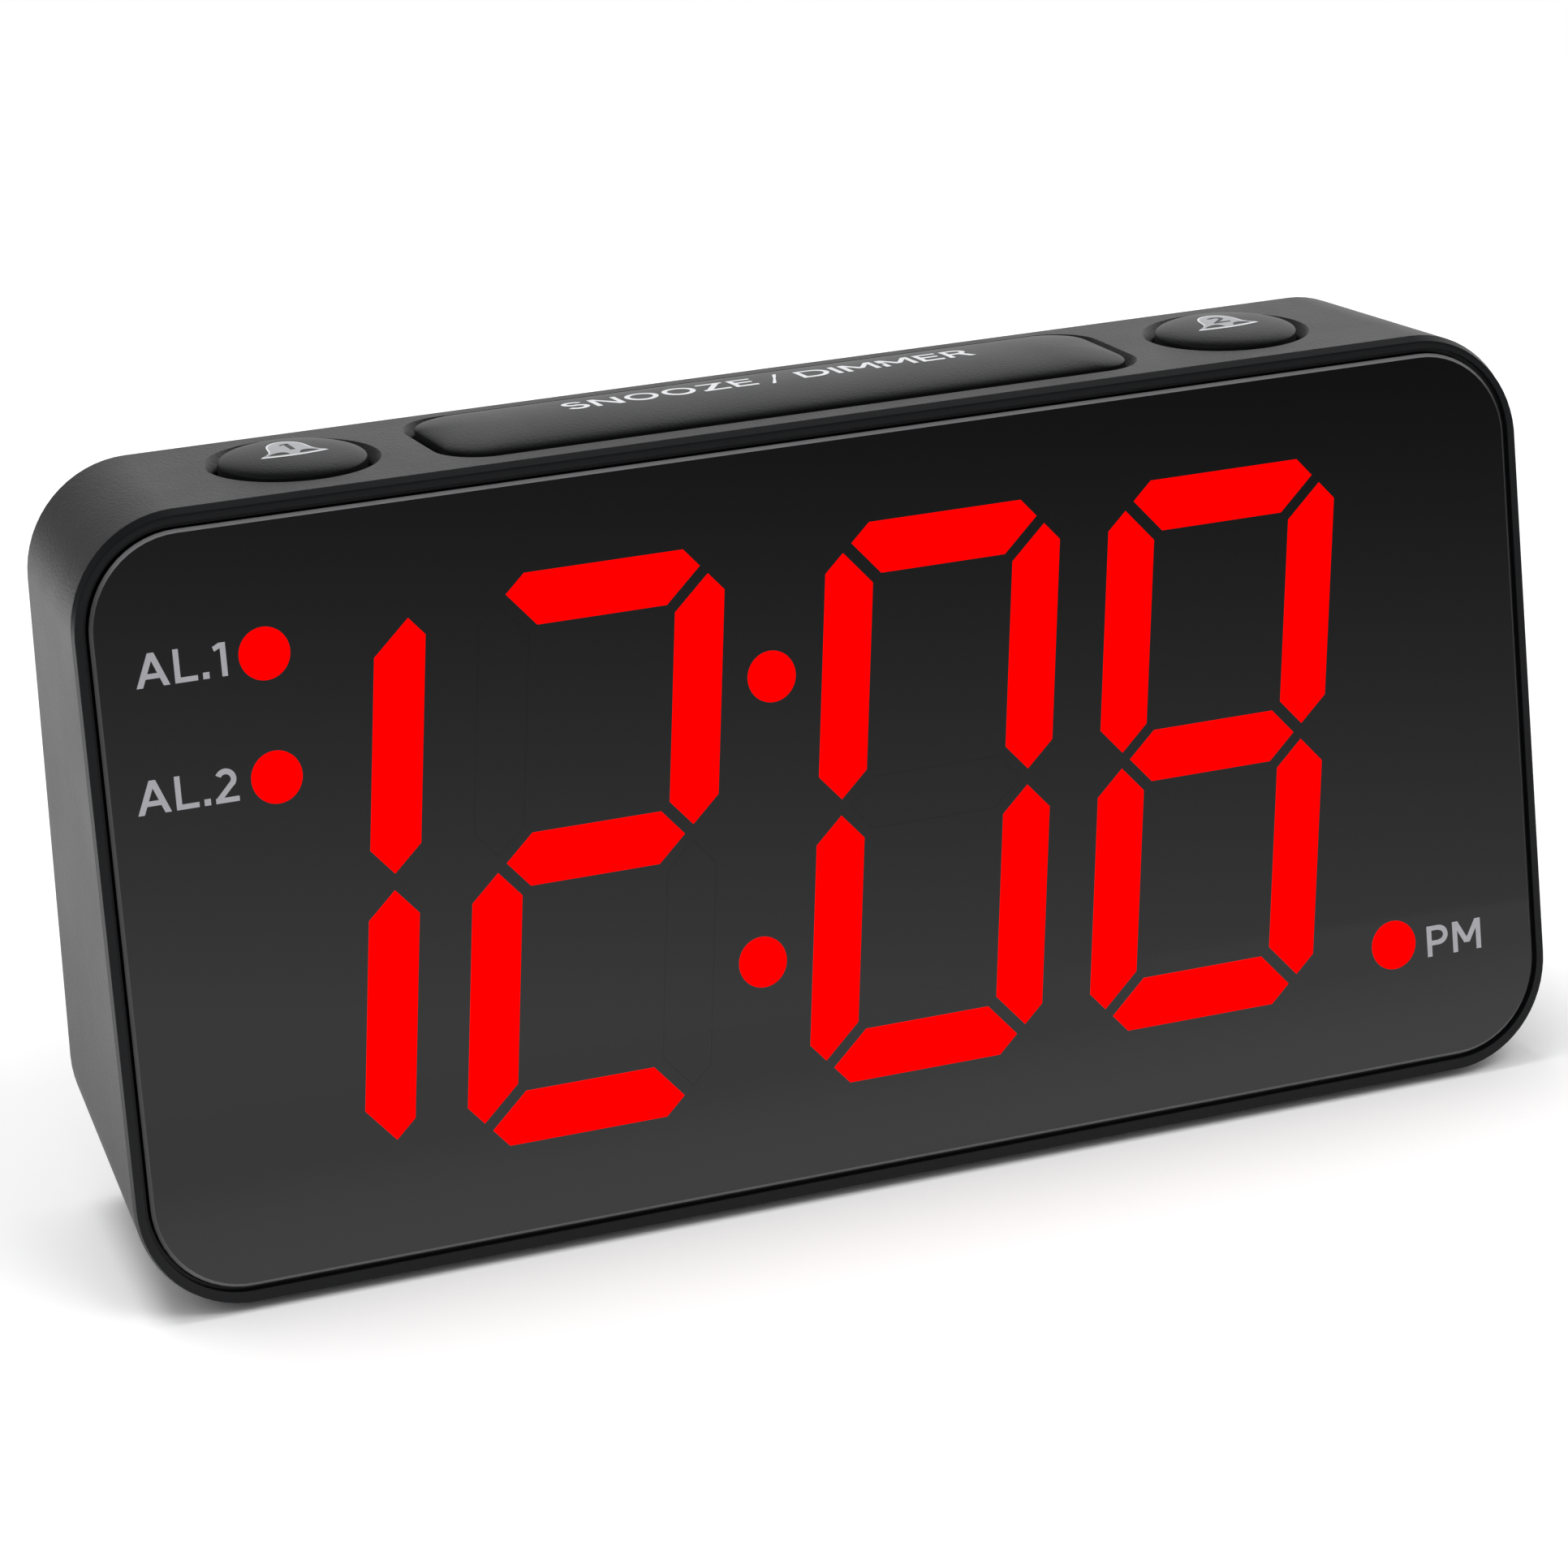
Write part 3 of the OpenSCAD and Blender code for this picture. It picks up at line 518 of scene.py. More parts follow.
@dataclass(frozen=True)
class Finish:
    """A surface as its maker would name it, with its grain and its uneven colour.

    The grain is a fine relief, `grain` wide and `relief` deep; the colour drifts by the
    share `drift` over patches `patch` wide, and the roughness drifts with it.
    """

    name: str
    colour: str
    roughness: float
    ior: float = 1.5
    metallic: float = 0.0
    grain: float = 0.0
    relief: float = 0.0
    drift: float = 0.04
    patch: float = 12.0

    def material(self) -> bpy.types.Material:
        """Makes the finish's material the first time, and finds it again later.

        Returns:
            The material.
        """
        made = bpy.data.materials.get(self.name)
        if not made:
            made = bpy.data.materials.new(self.name)
            made.use_nodes = True
            shader = made.node_tree.nodes["Principled BSDF"]
            feed(shader, {"IOR": self.ior, "Metallic": self.metallic})
            self.dress(shader, add(made.node_tree, "TexCoord")["Object"])
        return made

    def shade(self, place: bpy.types.NodeSocket) -> object:
        """The colour before it drifts: a value, or a socket where the finish has a pattern."""
        return linear(self.colour)

    def dress(self, shader: bpy.types.Node, place: bpy.types.NodeSocket) -> None:
        """Links the finish's colour, roughness and relief to its shader.

        Args:
            shader: the material's principled shader.
            place: where each point lies, in metres.
        """
        tree = shader.id_data
        cloud = add(tree, "TexNoise", {"Vector": place, "Scale": 1 / (self.patch * MM),
                                       "Detail": 3.0})["Fac"]
        drift = Ramp(0.3, 0.7, 1 - self.drift, 1 + self.drift)
        level = add(tree, "MapRange", drift.of(cloud))[0]
        colour = add(tree, "Mix", {"Factor": 1.0, 6: self.shade(place), 7: level}, data_type="RGBA",
                     blend_type="MULTIPLY")[2]
        dull = add(tree, "Math", {0: level, 1: self.roughness}, operation="MULTIPLY")[0]
        feed(shader, {"Base Color": colour, "Roughness": dull})
        if self.relief:
            grit = add(tree, "TexNoise", {"Vector": place, "Scale": 1 / (self.grain * MM),
                                          "Detail": 2.0})["Fac"]
            bump = add(tree, "Bump", {"Height": grit, "Distance": self.relief * MM})[0]
            feed(shader, {"Normal": bump})


@dataclass(frozen=True)
class ShadedEndsGroundEdge(Finish):
    """The ground rim of a clear sheet: pale along the top and bottom, darkened by painted shade at the two
    ends.
    """

    painted_end_shade: Ramp = Ramp(0.0755, 0.0787, 1.0, 0.3)     # painted shade, by the distance from the middle, in metres

    def shade(self, place: bpy.types.NodeSocket) -> object:
        """The colour, darkened towards the sheet's ends by painted shade.

        Args:
            place: where each point lies, in metres.

        Returns:
            The socket that gives the colour.
        """
        tree = place.id_data
        across = add(tree, "SeparateXYZ", {0: place})["X"]
        off = add(tree, "Math", {0: across}, operation="ABSOLUTE")[0]
        level = add(tree, "MapRange", self.painted_end_shade.of(off))[0]
        return add(tree, "Mix", {"Factor": 1.0, 6: linear(self.colour), 7: level}, data_type="RGBA",
                   blend_type="MULTIPLY")[2]


@dataclass(frozen=True)
class Glow(Finish):
    """A light guide that is evenly lit from behind: its light is a little stronger in the
    middle of each patch, and it has no gloss, so it stays one clear colour. Little of its
    light reaches the matt surfaces round it, as under a bright room's lamps."""

    power: float = 1.02
    spill: Ramp = Ramp(low=1.0, high=0.15)          # its strength for the eye and for a matt surface

    def dress(self, shader: bpy.types.Node, place: bpy.types.NodeSocket) -> None:
        """Lights the shader in the finish's colour.

        Args:
            shader: the material's principled shader.
            place: where each point lies, in metres.
        """
        tree = shader.id_data
        cloud = add(tree, "TexNoise", {"Vector": place, "Scale": 1 / (self.patch * MM)})["Fac"]
        level = add(tree, "MapRange", Ramp(low=self.power, high=self.power + self.drift).of(cloud))[0]
        spill = add(tree, "MapRange", self.spill.of(add(tree, "LightPath")["Is Diffuse Ray"]))[0]
        light = add(tree, "Math", {0: level, 1: spill}, operation="MULTIPLY")[0]
        feed(shader, {"Emission Strength": light, "Emission Color": linear(self.colour),
                      "Base Color": linear("#000000"), "Roughness": self.roughness,
                      "Specular IOR Level": 0.0})


@dataclass(frozen=True)
class Board(Finish):
    """Glass-epoxy circuit board: green lacquer over copper tracks, which show as paler lines
    where a cell pattern is close to its cells' borders."""

    track: str = "#4C8A4E"
    pitch: float = 3.2
    line: Ramp = Ramp(0.05, 0.09, 1.0, 0.0)         # by the distance from a border, in cells

    def shade(self, place: bpy.types.NodeSocket) -> object:
        """The lacquer's colour, and the tracks'.

        Args:
            place: where each point lies, in metres.

        Returns:
            The socket that gives the colour.
        """
        tree = place.id_data
        cells = add(tree, "TexVoronoi", {"Vector": place, "Scale": 1 / (self.pitch * MM),
                                         "Randomness": 0.35}, feature="DISTANCE_TO_EDGE")["Distance"]
        line = add(tree, "MapRange", self.line.of(cells))[0]
        return add(tree, "Mix", {"Factor": line, 6: linear(self.colour), 7: linear(self.track)},
                   data_type="RGBA")[2]


class Stuff(Enum):
    """Everything that the clock is made of."""

    # Matt black ABS from an eroded mould: a satin skin with a fine, soft grain. The real
    # grain is about 0.1 mm wide; it is drawn at 0.35 mm, the finest that shows.
    CASE = Finish("moulded_abs_case", "#1A1A1B", 0.45, 1.54, grain=0.35, relief=0.07, drift=0.05)
    # The same ABS from a polished part of the mould: darker, with cleaner reflections.
    FRAME = Finish("satin_abs_frame", "#18191B", 0.36, 1.31, grain=0.35, relief=0.008, drift=0.03)
    # Rubber-touch painted ABS of the keys: a soft, darker sheen than the case.
    KEY = Finish("soft_touch_abs_key", "#121314", 0.42, 1.41, grain=0.35, relief=0.035, drift=0.04)
    # Cast acrylic, smoked almost black: a flat mirror-like face of low reflectance.
    PANEL = Finish("smoked_acrylic", "#0A0A0A", 0.03, 1.49, drift=0.02, patch=30.0)
    # The same acrylic where the panel's edge is ground off: a fine matt that catches the light, with
    # painted shade at the panel's two ends.
    GROUND = ShadedEndsGroundEdge("ground_acrylic_edge_painted_shade", "#858587", 0.45, 1.49, grain=0.3, relief=0.01, patch=4.0)
    # Diffusing polycarbonate guides over the lamps, pure red when lit.
    LIT = Glow("lit_red_guide", "#FF0000", 0.6, drift=0.3, patch=6.0)
    # Pad print on the panel and keys: flat light grey ink, slightly silky.
    INK = Finish("grey_pad_print", "#C9C9CF", 0.55, 1.45, drift=0.03, patch=2.0)
    KEY_INK = Finish("silver_pad_print", "#EAEBEE", 0.4, 1.45, drift=0.05, patch=1.5)
    # The same ink laid thinner over the black inside a bell's outline, so a shade greyer.
    THIN_INK = Finish("thin_silver_pad_print", "#A9AAAE", 0.4, 1.45, drift=0.06, patch=1.5)
    # White filled ABS of the lamp block, dull so that it scatters the light.
    WHITE = Finish("white_abs", "#E6E6E1", 0.55, 1.5, grain=0.4, relief=0.01)
    # Double-sided foam tape: pale, matt and open-celled.
    TAPE = Finish("foam_tape", "#B9B9B0", 0.85, 1.4, grain=0.5, relief=0.05, drift=0.08)
    # Cream epoxy of the small lamps, a little glossy.
    LED = Finish("led_package", "#F2E9C8", 0.35, 1.5, drift=0.05, patch=2.0)
    # Glass-epoxy boards: a glossy green, with the copper tracks paler under it.
    BOARD = Board("glass_epoxy_board", "#245A33", 0.35, 1.5, grain=0.6, relief=0.01)
    # Zinc-plated steel of the small screws: bright, with a soft blue-grey gloss.
    ZINC = Finish("zinc_plated_steel", "#BFC0C4", 0.32, metallic=1.0, drift=0.08, patch=1.5)
    # Black-oxide steel of the case screws: dark metal with a low sheen.
    OXIDE = Finish("black_oxide_steel", "#56565A", 0.38, metallic=1.0, drift=0.1, patch=1.2)
    # Nickel-plated spring steel of the battery contacts: the warmest and brightest metal here.
    SPRING = Finish("nickel_spring_steel", "#CFCCC4", 0.22, metallic=1.0, drift=0.06, patch=2.0)
    # Filled epoxy of the chips: matt and almost black.
    EPOXY = Finish("chip_epoxy", "#1D1D20", 0.6, 1.55, grain=0.2, relief=0.01, drift=0.08)
    # Moulded rubber of the feet: dull and a little dusty.
    RUBBER = Finish("foot_rubber", "#161617", 0.78, 1.52, grain=0.5, relief=0.03, drift=0.12, patch=3.0)
    # Self-coloured acetal of the plungers and the slide: a waxy, even black.
    ACETAL = Finish("black_acetal", "#1B1B1D", 0.42, 1.48, grain=0.3, relief=0.008, drift=0.06)
    # Grey filled nylon of the small switches: dull and even.
    SWITCH = Finish("switch_body", "#8E8E94", 0.5, 1.5, drift=0.06, patch=2.0)
    # Tinned steel cans: bright, slightly clouded metal.
    TIN = Finish("tinned_steel_can", "#C9C9CC", 0.28, metallic=1.0, drift=0.06, patch=3.0)
    # Shrunk vinyl sleeve of the capacitors: glossy and dark blue.
    SLEEVE = Finish("capacitor_sleeve", "#2F4A78", 0.3, 1.5, drift=0.08, patch=3.0)
    # Moulded black nylon of the power socket: a little duller than the case.
    JACK = Finish("jack_nylon", "#161618", 0.5, 1.53, grain=0.3, relief=0.01, drift=0.08)
    # Lacquered foil sleeve of the dry cells: glossy, in one plain copper colour.
    CELL = Finish("dry_cell_jacket", "#C08A3E", 0.28, 1.5, drift=0.05)
    # Pressed steel of the speaker's frame: grey metal, unevenly rubbed.
    STEEL = Finish("pressed_steel", "#8D8D92", 0.35, metallic=1.0, drift=0.08, patch=4.0)
    # Pressed pulp of the speaker's cone: near black, with a dry, fibrous face.
    PAPER = Finish("cone_paper", "#26262A", 0.9, 1.4, grain=0.5, relief=0.05, drift=0.15, patch=1.5)
    # Sintered ferrite of the magnet: a dense, dull charcoal.
    FERRITE = Finish("ferrite", "#3A3A3E", 0.65, 1.6, grain=0.4, relief=0.02, drift=0.12, patch=2.0)
    # Soft vinyl on the wires: smooth and dark red.
    RED_WIRE = Finish("pvc_wire_insulation", "#9C2A2A", 0.4, 1.52, drift=0.06, patch=4.0)
    # Grey vinyl ribbon cable: a soft relief as wide as the 1.27 mm pitch of its cores.
    RIBBON = Finish("pvc_ribbon_cable", "#8E8E96", 0.45, 1.52, grain=1.27, relief=0.2, drift=0.05)


# ---- lettering ------------------------------------------------------------------------


def box(x0: float, y0: float, x1: float, y1: float) -> Ring:
    """An upright rectangle between two corners."""
    return np.array(((x0, y0), (x1, y0), (x1, y1), (x0, y1)), float)


def slat(low: float, high: float, w: float, y0: float = 0.0, y1: float = 1.0) -> Ring:
    """A sloping stroke with level ends, whose left edge runs from x `low` to x `high`."""
    return np.array(((low, y0), (low + w, y0), (high + w, y1), (high, y1)), float)


def bow(x: float, y: float, rx: float, ry: float, start: float, end: float, t: float) -> Ring:
    """A curved stroke between two ellipses about a point.

    Args:
        x: where the point lies across.
        y: where it lies up.
        rx: half the outer ellipse's width.
        ry: half its height.
        start: the angle of one end, in degrees.
        end: the angle of the other.
        t: how far inside the outer ellipse the inner one lies.

    Returns:
        The stroke.
    """
    a = np.radians(np.linspace(start, end, 20))
    ray = np.column_stack((np.cos(a), np.sin(a)))
    return np.vstack((ray * (rx, ry), ray[::-1] * (rx - t, ry - t))) + (x, y)


@dataclass(frozen=True)
class Lettering:
    """A plain, wide sans letter drawn with strokes, for a cap height of one.

    `cap` is the real cap height, `t` the stroke as a share of it, `gap` the space between
    letters, `space` the width of a word space and `broad` that of an M, as shares too.
    """

    cap: float
    t: float = 0.17
    gap: float = 0.17
    space: float = 0.42
    broad: float = 1.02

    def letter(self, sign: str) -> tuple[float, list[Ring]]:
        """A letter's width and its strokes.

        Args:
            sign: the letter, figure or mark.

        Returns:
            The width, and the strokes as rings, for a cap height of one.
        """
        t, d = self.t, self.t * 1.15
        bar = 0.9 * t
        stem = box(0, 0, t, 1)
        bowl = [box(0, 1 - bar, 0.42, 1), box(0, 0.36, 0.42, 0.36 + bar),
                bow(0.42, 0.68, 0.34, 0.32, -90, 90, t)]
        match sign:
            case "A":
                return 1.02, [slat(0, 0.51 - d / 2, d), slat(1.02 - d, 0.51 - d / 2, d),
                              box(0.2, 0.24, 0.82, 0.24 + bar)]
            case "C":
                return 0.88, [bow(0.5, 0.5, 0.5, 0.51, 48, 312, t)]
            case "D":
                return 1.0, [stem, box(0, 0, 0.51, bar), box(0, 1 - bar, 0.51, 1),
                             bow(0.5, 0.5, 0.5, 0.5, -90, 90, t)]
            case "E":
                return 0.76, [stem, box(0, 0, 0.76, bar), box(0, 1 - bar, 0.76, 1),
                              box(0, 0.43, 0.69, 0.43 + bar)]
            case "H":
                return 0.86, [stem, box(0.86 - t, 0, 0.86, 1), box(0, 0.42, 0.86, 0.42 + bar)]
            case "I":
                return t, [stem]
            case "L":
                return 0.69, [stem, box(0, 0, 0.69, bar)]
            case "M":
                w = self.broad
                return w, [stem, box(w - t, 0, w, 1), slat((w - d) / 2, 0, d, 0.27),
                           slat((w - d) / 2, w - d, d, 0.27)]
            case "N":
                return 0.92, [stem, box(0.92 - t, 0, 0.92, 1), slat(0.92 - d, 0, d)]
            case "O":
                return 1.06, [bow(0.53, 0.5, 0.53, 0.52, a, a + 180, t) for a in (-90, 90)]
            case "P":
                return 0.78, [stem, *bowl]
            case "R":
                return 0.88, [stem, *bowl, slat(0.88 - d * 1.1, 0.38, d * 1.1, 0, 0.42)]
            case "S":
                r = (1 + t) / 4
                return 0.78, [bow(0.39, 1 - r, 0.37, r + 0.01, 28, 270, t),
                              bow(0.39, r, 0.39, r + 0.01, -152, 90, t)]
            case "T":
                return 0.8, [box(0.4 - t / 2, 0, 0.4 + t / 2, 1), box(0, 1 - bar, 0.8, 1)]
            case "U":
                return 0.86, [box(0, 0.42, t, 1), box(0.86 - t, 0.42, 0.86, 1),
                              bow(0.43, 0.43, 0.43, 0.44, 180, 360, t)]
            case "V":
                return 1.0, [slat(0.5 - d / 2, 0, d), slat(0.5 - d / 2, 1 - d, d)]
            case "Z":
                return 0.88, [box(0, 0, 0.88, bar), box(0.02, 1 - bar, 0.88, 1),
                              slat(0, 0.88 - d * 1.15, d * 1.15)]
            case "1":
                flag = np.array(((0, 0.9), (0.05, 0.76), (0.4 - t, 0.84), (0.4 - t, 1), (0.2, 1)))
                return 0.4, [box(0.4 - t, 0, 0.4, 1), flag]
            case "2":
                neck = np.array(((0.01, 0.05), (0.15, 0.05), (0.63, 0.53), (0.5, 0.63), (0.01, 0.13)))
                return 0.72, [box(0, 0, 0.72, bar), bow(0.35, 0.69, 0.33, 0.32, -42, 152, t), neck]
            case "/":
                return 0.75, [slat(0, 0.5, 0.12, -0.12, 1.1)]
            case ".":
                return 1.15 * t, [box(0, 0, 1.15 * t, 1.15 * t)]
            case "+":
                return 0.8, [box(0, 0.5 - t / 2, 0.8, 0.5 + t / 2), box(0.4 - t / 2, 0.1, 0.4 + t / 2, 0.9)]
            case "-":
                return 0.8, [box(0, 0.5 - t / 2, 0.8, 0.5 + t / 2)]
        return self.space, []

    def write(self, text: str, x: float, y: float, align: float = 0.5) -> list[Ring]:
        """A line of text.

        Args:
            text: what it says.
            x: where the text's left edge, middle or right edge lies, as `align` says.
            y: where its baseline lies.
            align: 0 for the left edge, 0.5 for the middle, 1 for the right edge.

        Returns:
            The strokes as rings, in millimetres.
        """
        letters = [self.letter(sign) for sign in text]
        widths = np.array([width + self.gap for width, _ in letters])
        starts = np.concatenate(((0,), np.cumsum(widths)[:-1]))
        left = x / self.cap - align * (widths.sum() - self.gap)
        return [(stroke + (left + start, y / self.cap)) * self.cap
                for start, (_, strokes) in zip(starts, letters) for stroke in strokes]


@dataclass(frozen=True)
class Print:
    """Ink on a surface: a closed film that stands `proud` of it and reaches `root` into it."""

    datum: Datum
    proud: float = 0.03
    root: float = 0.04
    grid: float = 0.0
    shape: Callable[[Array, Array], Array] | None = None

    def put(self, skin: Skin, keep: Sequence[Ring], cut: Sequence[Ring] = ()) -> None:
        """Adds one film: the filled outlines over the surface, again under it, and its rim.

        Args:
            skin: the piece that it is part of.
            keep: outlines that are inked.
            cut: outlines that stay bare.
        """
        points, faces = fill(keep, cut, self.grid)
        height = self.shape(*points.T) if self.shape else 0.0
        count = len(points)
        edges = np.vstack([np.column_stack((face, np.roll(face, -1))) for face in faces])
        _, first, uses = np.unique(np.sort(edges, 1), axis=0, return_index=True, return_counts=True)
        a, b = edges[first[uses == 1]].T
        rim = np.column_stack((b, a, a + count, b + count)).tolist()
        under = [[n + count for n in reversed(face)] for face in faces]
        skin.add(np.vstack([self.datum.lifted(points, height + z) for z in (self.proud, -self.root)]),
                 faces + under + rim)


# ---- display ----------------------------------------------------------------------------


@dataclass
class Digits:
    """The seven-bar digits and round dots that show through the panel, drawn on the face."""

    height: float = 58.4
    span: float = 21.36         # between the middles of a digit's upright bars
    bar: float = 5.4
    slant: float = 0.122
    out_cut: float = 1.9        # bevel of a bar's end at a digit's outer corner
    side_gap: float = 0.13
    middle_gap: float = 0.93
    centre_gap: float = 0.86
    top_gap: float = 2.8        # from a digit's top to the point of an upright bar
    colon_x: float = -9.7
    colon_z: float = 14.8
    dot: float = 5.34
    middles: tuple[float, ...] = (-61.09, -28.65, 9.38, 41.82)
    shown: tuple[str, ...] = ("bc", "abcdefg", "abcdefg", "abcdefg")
    lamps: tuple[tuple[float, float], ...] = ((-61.6, 25), (-61.6, 12.5), (62.1, -25.2))

    def stroke(self, ends: tuple[float, float], tips: tuple[float, float], low: float, high: float,
               grow: float) -> Ring:
        """A bar with a pointed end at each side.

        Args:
            ends: where its two points lie along it.
            tips: how high each point lies across it.
            low: its lower edge.
            high: its upper edge.
            grow: by how much every edge is moved outwards.

        Returns:
            The six corners.
        """
        start, end = ends[0] - grow * math.sqrt(2), ends[1] + grow * math.sqrt(2)
        low, high = low - grow, high + grow
        return np.array(((start, tips[0]), (start + high - tips[0], high), (end - high + tips[1], high),
                         (end, tips[1]), (end - tips[1] + low, low), (start + tips[0] - low, low)))

    def window(self, name: str, grow: float) -> Ring:
        """The outline of one bar of an upright digit about the origin.

        Args:
            name: the bar's usual letter, from a to g.
            grow: by how much every edge is moved outwards.

        Returns:
            The outline.
        """
        top, side, half = self.height / 2, self.span / 2, self.bar / 2
        if name == "g":
            reach = side - self.middle_gap
            return self.stroke((-reach, reach), (0, 0), -half, half, grow)
        if name in "ad":
            reach, tip = side - self.side_gap, top - self.out_cut
            ring = self.stroke((-reach, reach), (tip, tip), top - self.bar, top, grow)
            return ring if name == "a" else -ring
        ring = self.stroke((self.centre_gap, top - self.top_gap), (side, side + half - self.out_cut),
                           side - half, side + half, grow)[:, ::-1]
        return ring * {"b": (1, 1), "c": (1, -1), "e": (-1, -1), "f": (-1, 1)}[name]

    def windows(self, grow: float) -> list[Ring]:
        """The outlines of every bar and dot.

        Args:
            grow: by how much every edge is moved outwards.

        Returns:
            The outlines, on the face.
        """
        bars = [self.window(name, grow) @ ((1, 0), (self.slant, 1)) + (x, 0)
                for x, names in zip(self.middles, self.shown) for name in names]
        colon = [(self.colon_x + s * self.slant * self.colon_z, s * self.colon_z) for s in (1, -1)]
        return bars + [circle(self.dot / 2 + grow, x, z).ring() for x, z in (*self.lamps, *colon)]


@dataclass
class Display:
    """The smoked panel with its print, and the light guides, lamps and board behind it."""

    panel: Outline = Outline(158.4, 77.2, 9.8, 0.09, -0.1, 14)
    thickness: float = 1.5      # of the sheet
    bevel: float = 0.35         # of its front edge
    window_gap: float = 0.015   # between a light guide and the sheet
    digits: Digits = field(default_factory=Digits)
    lettering: Lettering = Lettering(3.4, t=0.17, gap=0.155)
    marks: tuple[tuple[str, float, float, int], ...] = (    # word, x, baseline, 1 where x is its right
        ("AL.1", -65.55, 23.35, 1), ("AL.2", -65.65, 10.75, 1), ("PM", 66.2, -27.25, 0))

    def build_panel(self) -> None:
        """The panel: its front, bevel, edge and back, and the walls of its windows."""
        windows = self.digits.windows(self.window_gap)
        front = self.panel.grown(-self.bevel).ring()
        skin = Skin()
        for depth, edge in ((0.0, front), (self.thickness, self.panel.ring())):
            points, faces = fill([edge], windows)
            skin.add(upright(points, depth), faces)
        rings = [upright(front, 0), upright(self.panel.ring(), self.bevel),
                 upright(self.panel.ring(), self.thickness)]
        skin.loft(rings[1:])
        skin.kind = 1
        skin.loft(rings[:2])
        skin.kind = 0
        for ring in windows:
            skin.loft([upright(ring, 0), upright(ring, self.thickness)])
        skin.finish("display_panel", Stuff.PANEL, Stuff.GROUND, slot="panel_acrylic", nodes=["front_lens"])

    def build_print(self) -> None:
        """The words beside the small lamps."""
        ink, skin = Print(FACE), Skin()
        for text, x, y, align in self.marks:
            ink.put(skin, self.lettering.write(text, x, y, align))
        skin.finish("panel_print", Stuff.INK)

    def dress(self) -> None:
        """Gives the guides, lamps, board and fasteners behind the panel their finishes."""
        wear({Stuff.LIT: ("lit_segments", "colon_dots", "alarm_1_dot", "alarm_2_dot", "pm_dot"),
              Stuff.PANEL: ("unlit_segments",), Stuff.WHITE: ("reflector_block",),
              Stuff.TAPE: ("lens_tape",), Stuff.LED: ("display_leds",),
              Stuff.BOARD: ("display_board",), Stuff.ZINC: ("display_screws",),
              Stuff.EPOXY: ("led_drivers",), Stuff.RIBBON: ("display_cable",)})

    def build(self) -> None:
        """Builds the panel and its print, and dresses the rest."""
        self.build_panel()
        self.build_print()
        self.dress()


# ---- case -------------------------------------------------------------------------------

FRONT = Outline(161.4, 80.9, 11.5, arc=16)      # outline of the case's front, and of the frame

# A soft dish that slopes down to a key's hole, and the hole: (growth, height) round the hole
DISH = [(1.0, 0.0), (0.86, -0.12), (0.66, -0.36), (0.45, -0.65), (0.22, -0.92), (0.06, -1.15), (0.0, -1.4),
        (0.0, -2.0)]
# The walls of a plain hole with a slightly broken edge
BROKEN = [(0.25, 0.0), (0.08, -0.07), (0.0, -0.25), (0.0, -2.0)]
FINE_BROKEN = [(0.08, 0.0), (0.0, -0.08), (0.0, -2.0)]


